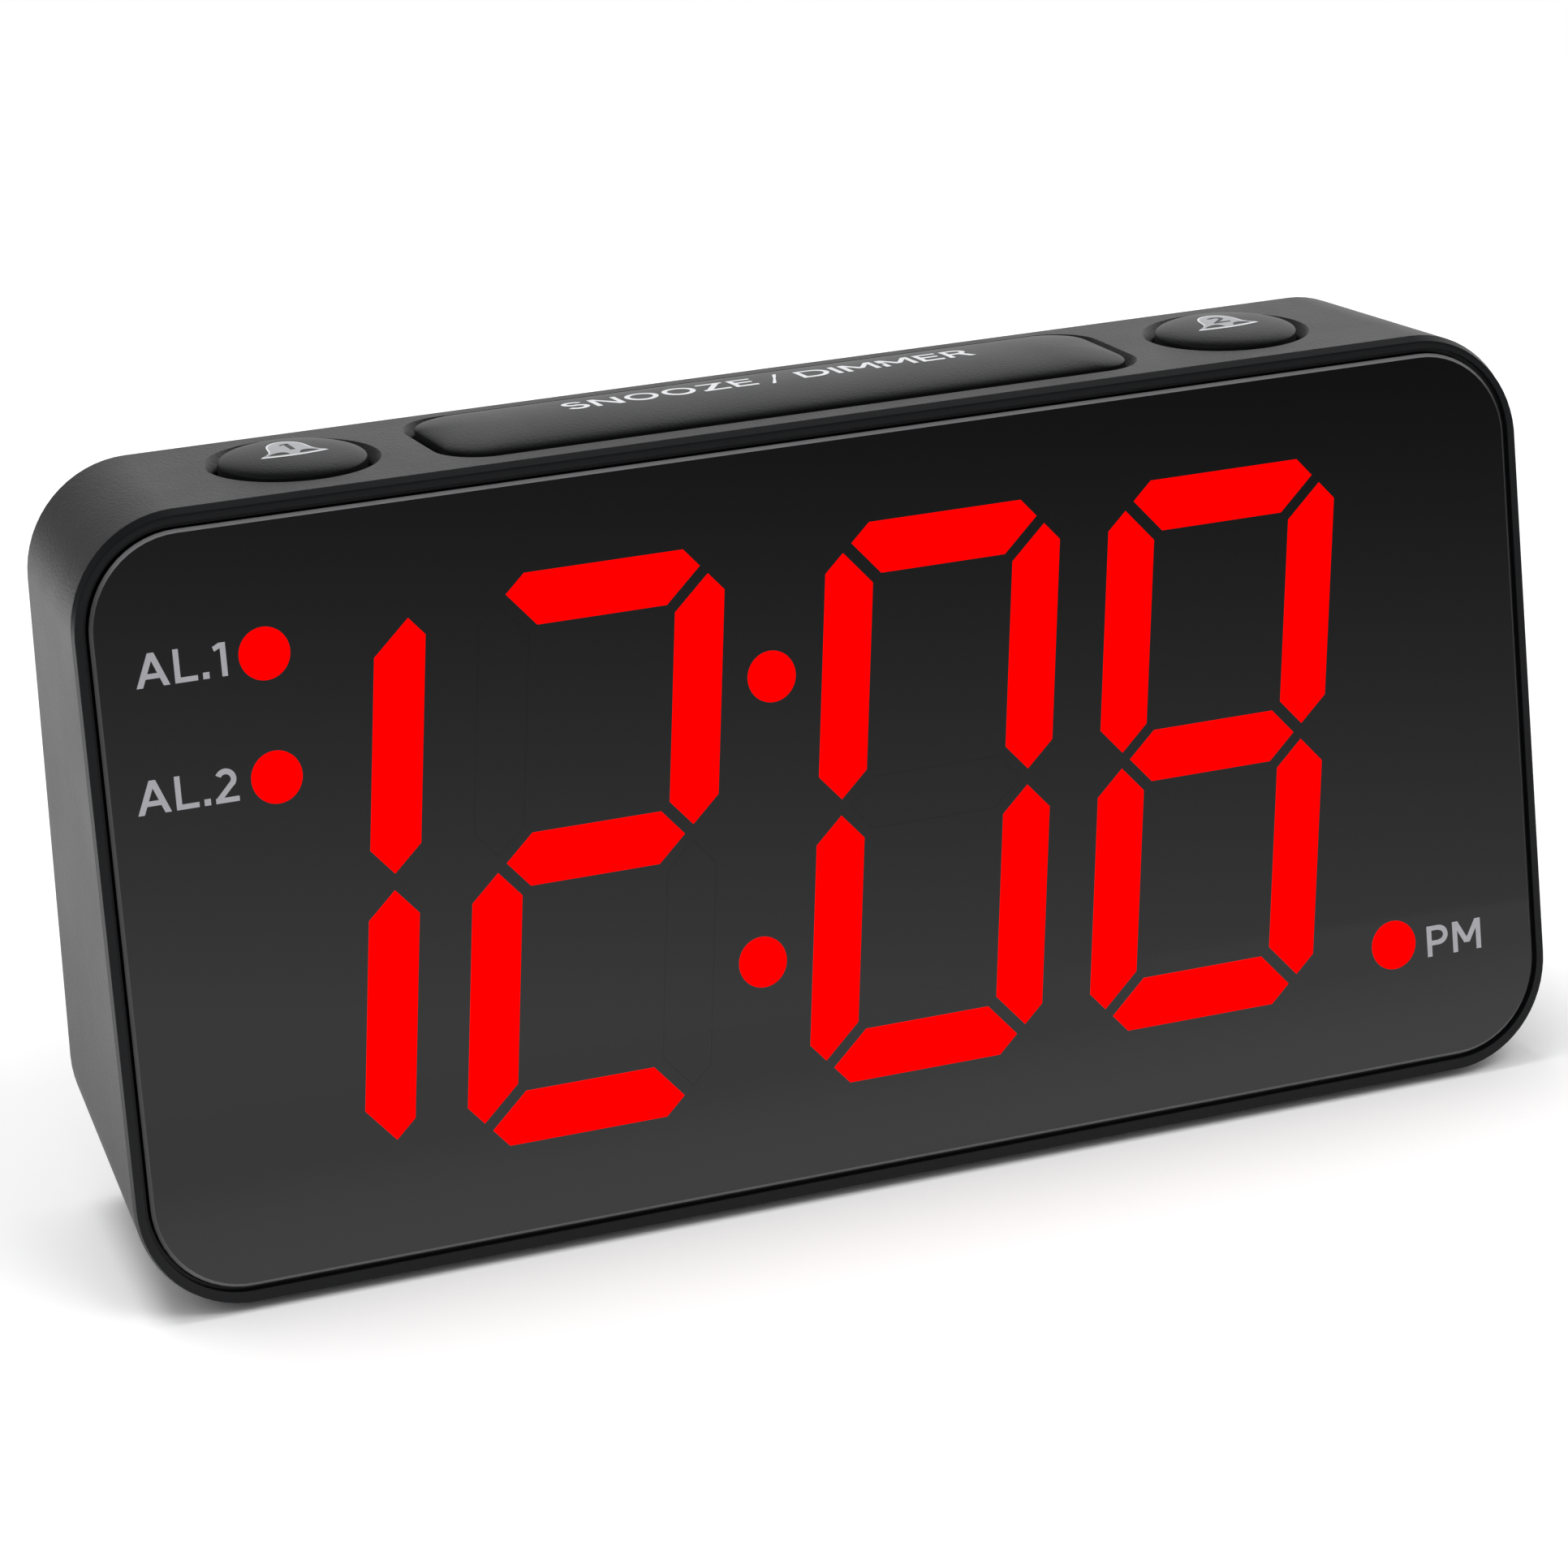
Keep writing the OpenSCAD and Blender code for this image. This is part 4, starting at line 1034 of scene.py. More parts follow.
@dataclass
class Case:
    """The one-piece rear case, with the battery bay, screw wells and posts moulded in."""

    front_depth: float = 1.0    # of its front edge, behind the face
    rear_w: float = 155.8       # width of the back
    rear_r: float = 11.1        # radius of the back's corners
    rear_top: tuple[float, float] = (24.5, 43.0)      # depth and height of the back's top edge
    rear_low: tuple[float, float] = (30.2, -30.0)
    wall: float = 2.0
    back_edge: float = 0.4      # rounding of the back's edge
    front_edge: float = 0.1     # and of the front's
    lip: float = 0.8            # thickness of the wall at the front
    lip_depth: float = 3.4      # where it becomes full, behind the face
    steps: int = 8              # rings along the sides
    round_key: float = 8.0      # radius of the round keys' holes
    bar_hole: Outline = Outline(77.0, 17.0, 4.3, BAR_X, arc=10)
    set_hole: float = 3.4       # radius of the setting keys' holes
    slot: Outline = Outline(6.8, 2.6, 0.45, 30.0, -4.0, 4)  # of the volume slide
    jack: tuple[float, float, float] = (4.0, 48.0, -22.0)  # radius and place of the power socket's hole
    speaker: tuple[float, float] = (-34.0, 13.0)  # its middle
    sound_step: float = 3.6     # from one ring of sound holes to the next
    sound_r: float = 0.8        # radius of a sound hole
    boss_depth: float = 12.1    # end of a screw's boss, behind the face
    sunk: float = 5.5           # depth of a screw's well
    well_r: float = 3.0
    bore_r: float = 1.6
    boss_r: float = 3.8
    bay_w: float = 50.0
    bay_h: float = 23.0
    bay_floor: float = 12.8
    rebate_w: float = 54.5
    rebate_h: float = 28.1
    rebate_floor: float = 1.7
    groove_r: float = 1.55      # radius of the groove for the door's barrel
    ledge: Outline = Outline(60.0, 31.0, 0.6, BAY_X, BAY_Y, 3)      # the bay's step inside the case
    ledge_depth: float = 3.4
    tub: Outline = Outline(52.8, 25.8, 0.6, BAY_X, BAY_Y, 3)        # and the tub behind the step
    tub_wall: float = 1.2
    post_low: float = -8.95     # end of the boards' posts
    key_post: tuple[float, float] = (0.8, 2.0)      # bore and radius
    key_post_x: float = 41.9
    board_post: tuple[float, float] = (0.9, 2.2)
    board_posts: tuple[tuple[float, float], ...] = ((3.0, 20.0), (3.0, -28.0), (60.0, 20.0), (60.0, -28.0))
    speaker_ring: tuple[float, float] = (11.8, 13.1)
    speaker_ring_low: float = -4.4
    foot_clear: float = 0.1     # round a foot, in its seat
    foot_gap: float = 0.05      # and over it

    def skins(self) -> tuple[Array, int, int, int]:
        """The rings of the outer and inner skins, from the back's outer edge round the front lip.

        The outer skin is ruled between the front outline and the back's sharp outline. Its
        back edge is a quarter round, and so is its front edge. The inner skin is the outer
        one moved in by the wall along its normals, and cut off at the lip and at the back.

        Returns:
            The rings, the row where the plain sides begin, the row where they end, and the
            row where the inner skin begins.
        """
        height = math.dist(self.rear_top, self.rear_low)
        rear = Outline(self.rear_w, height, self.rear_r, arc=FRONT.arc).grown(SWELL)
        flip = np.array((-1, 1))
        start, end = BACK.lifted(rear.ring() * flip, 0), upright(FRONT.ring(), self.front_depth)
        along = unit(end - start)
        back_in = -BACK.turn(lift(rear.normals() * flip, 0))
        front_in = -FACE.turn(lift(FRONT.normals(), 0))
        round_about = rear.normals()[:, ::-1] * flip
        tangent = unit(BACK.turn(lift(round_about * flip, 0)) + FACE.turn(lift(round_about, 0)))
        inward = unit(np.cross(along, tangent))
        inward *= np.sign(np.sum(inward * front_in, 1))[:, None]
        back_round = quarter_round(start, along, back_in, r=self.back_edge, steps=6)[::-1]
        front_round = quarter_round(end, -along, front_in, r=self.front_edge, steps=4)
        lip = FRONT.grown(-self.lip).ring()
        base = start + inward * self.wall
        inner = [slide(base, along, FACE, -self.lip_depth), slide(base, along, BACK, -self.wall)]
        side = np.linspace(back_round[-1], front_round[0], self.steps + 1)[1:-1]
        rim = [upright(lip, self.front_depth), upright(lip, self.lip_depth)]
        rings = np.concatenate((back_round, side, front_round, rim, inner))
        first = len(back_round) - 1
        return rings, first, first + self.steps, len(rings) - 2

    def pierce(self, skin: Skin, datum: Datum, outline: Outline,
               profile: Sequence[tuple[float, float]]) -> tuple[Ring, Ring]:
        """Adds a hole's walls, and gives its edges on the outer and on the inner surface."""
        skin.moulded(datum, outline, profile, ends="")
        return outline.grown(profile[0][0]).ring(), outline.grown(profile[-1][0]).ring()

    def well(self, skin: Skin, x: float, y: float) -> tuple[Ring, Ring]:
        """Adds a screw's well, its bore and the boss around them, square to the face.

        Args:
            skin: the case.
            x: the screw's place across the face.
            y: its place up the face.

        Returns:
            The well's edge on the outer surface, and the boss's on the inner one.
        """
        def sunk_ring(r: float, depth: float) -> Array:
            """A ring about the screw at a depth behind the face."""
            return upright(circle(r, x, y).ring(), depth)

        def meets(r: float, height: float) -> Array:
            """The ring in which a cylinder about the screw meets the back's plane, or one under it."""
            ring = sunk_ring(r, 0.0)
            return slide(ring, np.broadcast_to(FACE.axes[2], ring.shape), BACK, height)

        seat = -FACE.local(meets(self.well_r, 0.0))[:, 2].mean() - self.sunk
        rim, inner = meets(self.well_r, 0.0), meets(self.boss_r, -self.wall)
        skin.loft([rim, sunk_ring(self.well_r, seat), sunk_ring(self.bore_r, seat),
                   sunk_ring(self.bore_r, self.boss_depth), sunk_ring(self.boss_r, self.boss_depth), inner])
        return BACK.flat(rim), BACK.flat(inner)

    def battery_bay(self, skin: Skin) -> tuple[Ring, Ring]:
        """Adds the door's rebate with its hinge groove, the bay, and the tub behind them.

        The rebate's floor is a grid whose height follows the groove, a part of a circle
        about the hinge's axis, and then stays level; the bay opens in its middle.

        Args:
            skin: the case.

        Returns:
            The rebate's edge on the outer surface, and the tub's on the inner one.
        """
        low = BAY_Y - self.bay_h / 2
        bay_turn = 2 * math.pi - math.acos((low - HINGE_Y) / self.groove_r)
        end_turn = 2 * math.pi - math.asin((self.rebate_floor + HINGE_Z) / self.groove_r)
        turns = np.concatenate((np.linspace(math.pi, bay_turn, 9), np.linspace(bay_turn, end_turn, 3)[1:]))
        groove = self.groove_r * np.column_stack((np.cos(turns), np.sin(turns)))
        level = [(BAY_Y + h / 2, -self.rebate_floor) for h in (self.bay_h, self.rebate_h)]
        floor = np.vstack((groove + (HINGE_Y, HINGE_Z), level))
        xs = BAY_X + np.array((-self.rebate_w, -self.bay_w, self.bay_w, self.rebate_w)) / 2
        grid = np.array([np.column_stack((np.full(len(floor), x), floor)) for x in xs])
        bay_rows = slice(8, len(floor) - 1)
        rim, mouth = border(grid), border(grid[1:3, bay_rows])
        skin.loft(BACK.place(grid), skip=[(1, 2, np.arange(8, len(floor) - 2))], around=False)
        skin.loft([BACK.place(rim * (1, 1, 0)), BACK.place(rim)])
        skin.loft([BACK.place(mouth), BACK.lifted(mouth[:, :2], -self.bay_floor)], ends="last")
        tub = ((self.ledge, self.wall), (self.ledge, self.ledge_depth), (self.tub, self.ledge_depth),
               (self.tub, self.bay_floor + self.tub_wall))
        skin.loft([BACK.lifted(edge.ring(), -depth) for edge, depth in tub], ends="last")
        return rim[:, :2], self.ledge.ring()

    def foot_seats(self, skin: Skin, under: Datum) -> list[Ring]:
        """Adds the round seats of the feet, upright holes in the sloping underside.

        Args:
            skin: the case.
            under: the frame of the underside.

        Returns:
            The seats' edges on the underside.
        """
        edges = []
        for x, y, r, top in foot_places():
            ring = circle(r + self.foot_clear, x, y).ring()
            floor = lift(ring, top + self.foot_gap)
            rim = slide(floor, np.broadcast_to((0.0, 0.0, 1.0), floor.shape), under, 0.0)
            skin.loft([rim, floor], ends="last")
            edges.append(under.flat(rim))
        return edges

    def posts(self, skin: Skin) -> None:
        """Adds the posts that carry the two boards, and the ring that holds the speaker.

        Args:
            skin: the case.
        """
        posts = [(TOP.at(side * self.key_post_x, 0), *self.key_post, self.post_low, 12) for side in (-1, 1)]
        posts += [(BACK.at(x, y), *self.board_post, self.post_low, 12) for x, y in self.board_posts]
        posts.append((BACK.at(*self.speaker), *self.speaker_ring, self.speaker_ring_low, 20))
        for datum, bore, r, low, arc in posts:
            skin.tube(datum, bore, r, -self.wall, low, arc)

    def sound_holes(self) -> list[Outline]:
        """The speaker's holes: one in the middle, and rings of six and twelve about it.

        Returns:
            The holes' outlines on the back.
        """
        x, y = self.speaker
        holes = [circle(self.sound_r, x, y, 5)]
        for ring in (1, 2):
            turn = np.arange(6 * ring) * 2 * math.pi / (6 * ring)
            places = (x, y) + ring * self.sound_step * np.column_stack((np.cos(turn), np.sin(turn)))
            holes += [circle(self.sound_r, *place, 5) for place in places]
        return holes

    def build(self) -> None:
        """Builds the case."""
        skin = Skin()
        rings, first, last, inner = self.skins()
        top, low = FRONT.arc, 3 * FRONT.arc + 2         # columns of the flat top and underside
        skin.loft(rings, skip=[(first, last, top), (first, last, low), (inner, inner + 1, top)])
        keys = [circle(self.round_key, x, 0, 20) for x in ALARM_X] + [self.bar_hole]
        holes = [self.pierce(skin, TOP, key, DISH) for key in keys]
        sheets = (slice(first, last + 1), 0.0, 0), (slice(inner, inner + 2), -self.wall, 1)
        for rows, level, end in sheets:
            sheet = np.concatenate((rings[rows, top], rings[rows, top + 1][::-1]))
            skin.plate(TOP, [TOP.flat(sheet)], [hole[end] for hole in holes], level)
        sheet = np.concatenate((rings[first:last + 1, low], rings[first:last + 1, low + 1][::-1]))
        under = plane(sheet[0], sheet[-1], sheet[len(sheet) // 2])
        skin.plate(under, [under.flat(sheet)], self.foot_seats(skin, under))
        through = [(circle(self.set_hole, x, SET_Y), BROKEN) for x in SET_X]
        through += [(circle(*self.jack), BROKEN), (self.slot, FINE_BROKEN)]
        through += [(hole, FINE_BROKEN) for hole in self.sound_holes()]
        holes = [self.pierce(skin, BACK, *hole) for hole in through]
        holes += [self.well(skin, *place) for place in SCREWS]
        holes.append(self.battery_bay(skin))
        for ring, level, end in ((rings[0], 0.0, 0), (rings[-1], -self.wall, 1)):
            skin.plate(BACK, [BACK.flat(ring)], [hole[end] for hole in holes], level)
        self.posts(skin)
        skin.finish("case_shell", Stuff.CASE, slot="case_plastic", nodes=["rear_case"])


def border(grid: Array) -> Array:
    """The points round the edge of a grid, in order."""
    return np.concatenate((grid[0], grid[1:, -1], grid[-1, -2::-1], grid[-2:0:-1, 0]))


def plane(corner: Array, right: Array, beyond: Array) -> Datum:
    """The frame of a surface through three points, with z pointing down out of it.

    Args:
        corner: the point that becomes the origin.
        right: the point towards which x runs.
        beyond: a third point of the surface.

    Returns:
        The frame.
    """
    x = unit(right - corner)
    z = unit(np.cross(x, beyond - corner))
    z *= -np.sign(z[2])
    return Datum(corner, np.array((x, np.cross(z, x), z)))


def foot_places() -> list[tuple[float, float, float, float]]:
    """Where the feet of the model are.

    Returns:
        The x, y, radius and top of each, the front ones before the rear ones.
    """
    places = []
    for node in ("front_feet", "rear_feet"):
        (left, right), (near, far), (_, top) = (span(node, axis) for axis in np.eye(3))
        r = (far - near) / 2
        places += [(left + r, near + r, r, top), (right - r, near + r, r, top)]
    return places


@dataclass
class Bezel:
    """The front frame: a rounded band round the panel, plugged into the case's lip."""

    panel: Outline = Outline(158.5, 77.3, 9.8, 0.04, -0.06, 16)
    opening: Outline = Outline(136.0, 69.0, 5.0, arc=16)
    joint_depth: float = 0.98   # where the frame meets the case, behind the face
    nose_depth: float = 0.12    # and its front
    chamfer: tuple[float, float] = (0.55, 0.18)      # how far in it ends, and at what depth
    nose_in: float = 0.9
    flank: float = 0.15         # how far in the sides and bottom go, as a share of the top
    seam: float = 0.03          # how far in the frame begins
    groove: float = 0.45        # width of the groove round the panel
    groove_depth: float = 0.8
    groove_edge: tuple[float, float] = (0.05, 0.12)         # width and depth of its outer bevel
    seat_gap: float = 0.1       # between the panel and its seat's wall
    seat_depth: float = 1.75
    flange: float = 1.5         # thickness behind the panel
    plug_in: float = 0.85       # how far in the part inside the case lies
    boss: tuple[float, float, float] = (1.1, 3.2, 12.0)     # bore, radius and end of a screw's post
    stub: tuple[float, float, float] = (0.9, 2.6, 8.35)     # and of a display board's post
    stub_y: float = 7.5

    def nose(self) -> list[tuple[float, float]]:
        """The band's front: a steep chamfer, then a curve to the front.

        The curve is a parabola whose handle lies on the chamfer's line, at the front's depth.

        Returns:
            Its section as (growth, depth) points.
        """
        start = np.array((self.seam, self.joint_depth - self.seam))
        bend, end = np.array(self.chamfer), np.array((self.nose_in, self.nose_depth))
        handle = bend + (bend - start) * (end[1] - bend[1]) / (bend[1] - start[1])
        t = np.linspace(0, 1, 8)[:, None]
        curve = (1 - t) ** 2 * bend + 2 * t * (1 - t) * handle + t * t * end
        return [(-into, depth) for into, depth in (start, *curve)]

    def build(self) -> None:
        """Builds the band, the groove, the panel's seat, the flange and its posts.

        The band's chamfer is widest along the top, by the upward share of each direction.
        """
        skin = Skin()
        groove = self.panel.grown(self.groove)
        seat = self.panel.grown(self.seat_gap)
        back = self.seat_depth + self.flange
        rings = [(FRONT.grown(-self.plug_in), self.joint_depth),
                 (FRONT.grown(-self.seam), self.joint_depth)]
        plain = [upright(edge.ring(), depth) for edge, depth in rings]
        share = self.flank + (1 - self.flank) * np.clip(FRONT.normals()[:, 1:], 0, 1)
        nose = [upright(FRONT.ring() + FRONT.normals() * growth * share, depth)
                for growth, depth in self.nose()]
        wide, deep = self.groove_edge
        rings = [(groove.grown(wide), self.nose_depth), (groove, self.nose_depth + deep),
                  (groove, self.groove_depth), (seat, self.groove_depth), (seat, self.seat_depth),
                  (self.opening, self.seat_depth), (self.opening, back),
                  (FRONT.grown(-self.plug_in), back)]
        skin.loft([*plain, *nose, *(upright(edge.ring(), depth) for edge, depth in rings)], ends="loop")
        posts = [(x, y, *self.boss) for x, y in SCREWS]
        posts += [(side * SCREW_X, y, *self.stub) for side in (-1, 1) for y in (self.stub_y, -self.stub_y)]
        for x, y, bore, r, depth in posts:
            skin.tube(FACE.at(x, y), bore, r, -back, -depth)
        skin.finish("front_frame", Stuff.FRAME, slot="frame_plastic", nodes=["front_bezel"])


# ---- keys -------------------------------------------------------------------------------


@dataclass
class RoundKey:
    """A round domed key with a flange under the wall and a stem down to its switch."""

    name: str
    body: str
    datum: Datum
    plunger: str
    r: float = 7.6
    shoulder: float = -0.04     # height of the dome's edge over the case
    crown: float = 1.28         # height of the dome over its edge
    power: float = 2.1          # 2 is an ellipse's section; more is flatter on top
    flange: float = 1.2         # how far the flange reaches past the side
    flange_top: float = -2.15
    flange_h: float = 1.0
    stem: float = 2.4
    stem_h: float = 1.0

    def dome(self, reach: Array) -> Array:
        """The dome's height at a distance from its middle: a superellipse over the shoulder."""
        share = np.clip(np.asarray(reach) / self.r, 0, 1)
        return self.shoulder + self.crown * (1 - share ** self.power) ** (1 / self.power)

    def profile(self) -> list[tuple[float, float]]:
        """The key's section from its middle out: dome, side, flange and stem.

        Returns:
            The section as (radius, height) points.
        """
        reach = self.r * np.sin(np.linspace(0.05, QUARTER, 20))
        low = self.flange_top - self.flange_h
        return [*zip(reach, self.dome(reach)), (self.r, self.flange_top),
                (self.r + self.flange, self.flange_top), (self.r + self.flange, low), (self.stem, low),
                (self.stem, low - self.stem_h)]

    def build(self) -> None:
        """Builds the key."""
        skin = Skin()
        skin.turned(self.datum, self.profile(), arc=20)
        skin.finish(self.name, Stuff.KEY, body=self.body, slot="button_plastic", nodes=[self.body])
        wear({Stuff.ACETAL: (self.plunger,)})


@dataclass
class AlarmKey(RoundKey):
    """A key on the top with a bell printed on it, and its alarm's number in the bell."""

    number: str = "1"
    bell_w: float = 7.2
    bell_h: float = 5.3
    bell_x: float = -0.35
    bell_y: float = -2.0        # from the key's middle to the ends of the bell's rim
    bell_bow: float = 0.8       # how far the rim's middle lies in front of its ends
    line: float = 0.3           # width of the brighter outline
    line_gap: float = 0.02      # between the outline and the thinner ink inside it
    slit: tuple[float, float, float] = (0.5, 2.2, 0.9)      # where it starts, its length and height
    slit_y: float = 0.6         # over the rim
    figure_y: float = 1.25
    figure: Lettering = Lettering(2.7, t=0.2)

    def bell(self) -> Ring:
        """The bell's outline.

        Half its width at a height is a body that narrows slowly, times the root of one
        less the fourth power of the height's share, plus a lip that dies out upwards.

        Returns:
            The outline.
        """
        share = np.sin(np.linspace(0, QUARTER, 28))
        body = (0.32 - 0.04 * share) * np.sqrt(1 - share ** 4)
        half = self.bell_w * (body + 0.18 * np.exp(-(share / 0.13) ** 1.5))
        side = np.column_stack((half, share * self.bell_h))
        x = np.linspace(-1, 1, 17)[1:-1]
        rim = np.column_stack((x * half[0], -self.bell_bow * (1 - x * x)))
        return np.vstack((side, side[-2::-1] * (-1, 1), rim)) + (self.bell_x, self.bell_y)

    def slits(self) -> list[Ring]:
        """The two bare, leaf-shaped slits beside the bell's clapper, each under a half sine.

        Returns:
            The slits' outlines.
        """
        share = np.linspace(0, 1, 12)
        start, length, height = self.slit
        x, leaf = start + length * share, height * np.sin(math.pi * share ** 0.7) ** 0.8
        low = self.bell_y + self.slit_y - self.bell_bow * (1 - (2 * x / self.bell_w) ** 2)
        side = np.vstack((np.column_stack((x, low + leaf)), np.column_stack((x, low - 0.05))[-2:0:-1]))
        return [side + (self.bell_x, 0), side * (-1, 1) + (self.bell_x, 0)]

    def build(self) -> None:
        """Builds the key and its print."""
        super().build()
        ink = Print(self.datum, grid=0.61, shape=lambda x, y: self.dome(np.hypot(x, y)))
        skin = Skin()
        figure = self.figure.write(self.number, self.bell_x, self.bell_y + self.figure_y)
        bell = self.bell()
        middle = (bell.max(0) + bell.min(0)) / 2
        hole, inside = (middle + (bell - middle) * (1 - 2 * line / (bell.max(0) - bell.min(0)))
                        for line in (self.line, self.line + self.line_gap))
        ink.put(skin, [bell], [hole])
        skin.kind = 1
        ink.put(skin, [inside], [*figure, *self.slits()])
        skin.finish(self.name + "_print", Stuff.KEY_INK, Stuff.THIN_INK, body=self.body)


@dataclass
class SnoozeBar:
    """The long pillow-topped bar that snoozes the alarm and dims the display."""

    outline: Outline = Outline(76.4, 16.4, 4.0, BAR_X, arc=10)
    shoulder: float = -0.05     # height of the top's edge over the case
    crown: float = 1.3          # height of the middle over the edge
    power: float = 1.9          # 2 is an ellipse's section; more is flatter on top
    middle: float = 0.05        # half the width of the level strip along the top
    flange: float = 0.8         # how far the flange reaches past the side
    flange_top: float = -2.15
    flange_h: float = 1.0
    stem: float = 2.4
    stem_h: float = 1.0
    switch_x: float = 20.0      # where the two stems are
    words: Lettering = Lettering(3.4, t=0.17, gap=0.165, space=0.04, broad=1.1)
    words_x: float = -22.6
    words_y: float = -0.15

    def height(self, inset: Array) -> Array:
        """The top's height at a distance in from the edge: a flat-topped superellipse."""
        share = 1 - np.clip(np.asarray(inset) / (self.outline.h / 2), 0, 1)
        return self.shoulder + self.crown * (1 - share ** self.power) ** (1 / self.power)

    def level(self, inset: float) -> Array:
        """A ring of the top, whose corners grow rounder towards the middle.

        Args:
            inset: how far in from the edge it lies.

        Returns:
            The ring, in the part's frame.
        """
        half = self.outline.h / 2 - inset
        start = self.outline.r / (self.outline.h / 2)
        r = half * (start + (1 - start) * math.sin(QUARTER * inset / (self.outline.h / 2)))
        r -= 0.004              # so that every ring keeps its straight sides, however short
        ring = Outline(self.outline.w - 2 * inset, 2 * half, r, BAR_X, arc=self.outline.arc).ring()
        return TOP.lifted(ring, float(self.height(inset)))

    def build(self) -> None:
        """Builds the bar's top, sides, flange and stems, and its print."""
        skin, low = Skin(), self.flange_top - self.flange_h
        insets = (self.outline.h / 2 - self.middle) * (1 - np.cos(np.linspace(0, QUARTER, 22)))
        rings = [self.level(inset) for inset in insets[::-1]]
        rings += [TOP.lifted(self.outline.grown(g).ring(), z) for g, z in
                  ((0, self.flange_top), (self.flange, self.flange_top), (self.flange, low))]
        skin.loft(rings, ends="both")
        for x in (-self.switch_x, self.switch_x):
            skin.turned(TOP.at(x, 0), [(self.stem, low), (self.stem, low - self.stem_h)])
        skin.finish("snooze_key", Stuff.KEY, body="snooze_bar", slot="button_plastic", nodes=["snooze_bar"])
        half = self.outline.h / 2
        ink = Print(TOP, grid=0.8, shape=lambda x, y: self.height(half - np.abs(y)))
        skin = Skin()
        ink.put(skin, self.words.write("SNOOZE / DIMMER", self.words_x, self.words_y, 0))
        skin.finish("snooze_key_print", Stuff.KEY_INK, body="snooze_bar")
        wear({Stuff.ACETAL: ("snooze_plungers",)})


@dataclass
class Keys:
    """Every key of the clock, with the switches and board under the top ones."""

    bell_x: tuple[float, ...] = (-0.35, -0.62)

    def build(self) -> None:
        """Builds the keys."""
        for n, x, bell_x in zip("12", ALARM_X, self.bell_x):
            AlarmKey(f"alarm_{n}_key", f"alarm_{n}_button", TOP.at(x, 0), f"alarm_{n}_plunger",
                     number=n, bell_x=bell_x).build()
        SnoozeBar().build()
        for name, x in zip(("time", "hour", "minute"), SET_X):
            RoundKey(f"{name}_key", f"{name}_button", BACK.at(x, SET_Y), f"{name}_plunger",
                     r=3.1, shoulder=0.3, crown=0.5, power=3.0).build()
        wear({Stuff.SWITCH: ("top_switches", "rear_switches"), Stuff.BOARD: ("key_board",),
              Stuff.ZINC: ("key_board_screws",), Stuff.RIBBON: ("key_cable",)})


# ---- back -------------------------------------------------------------------------------


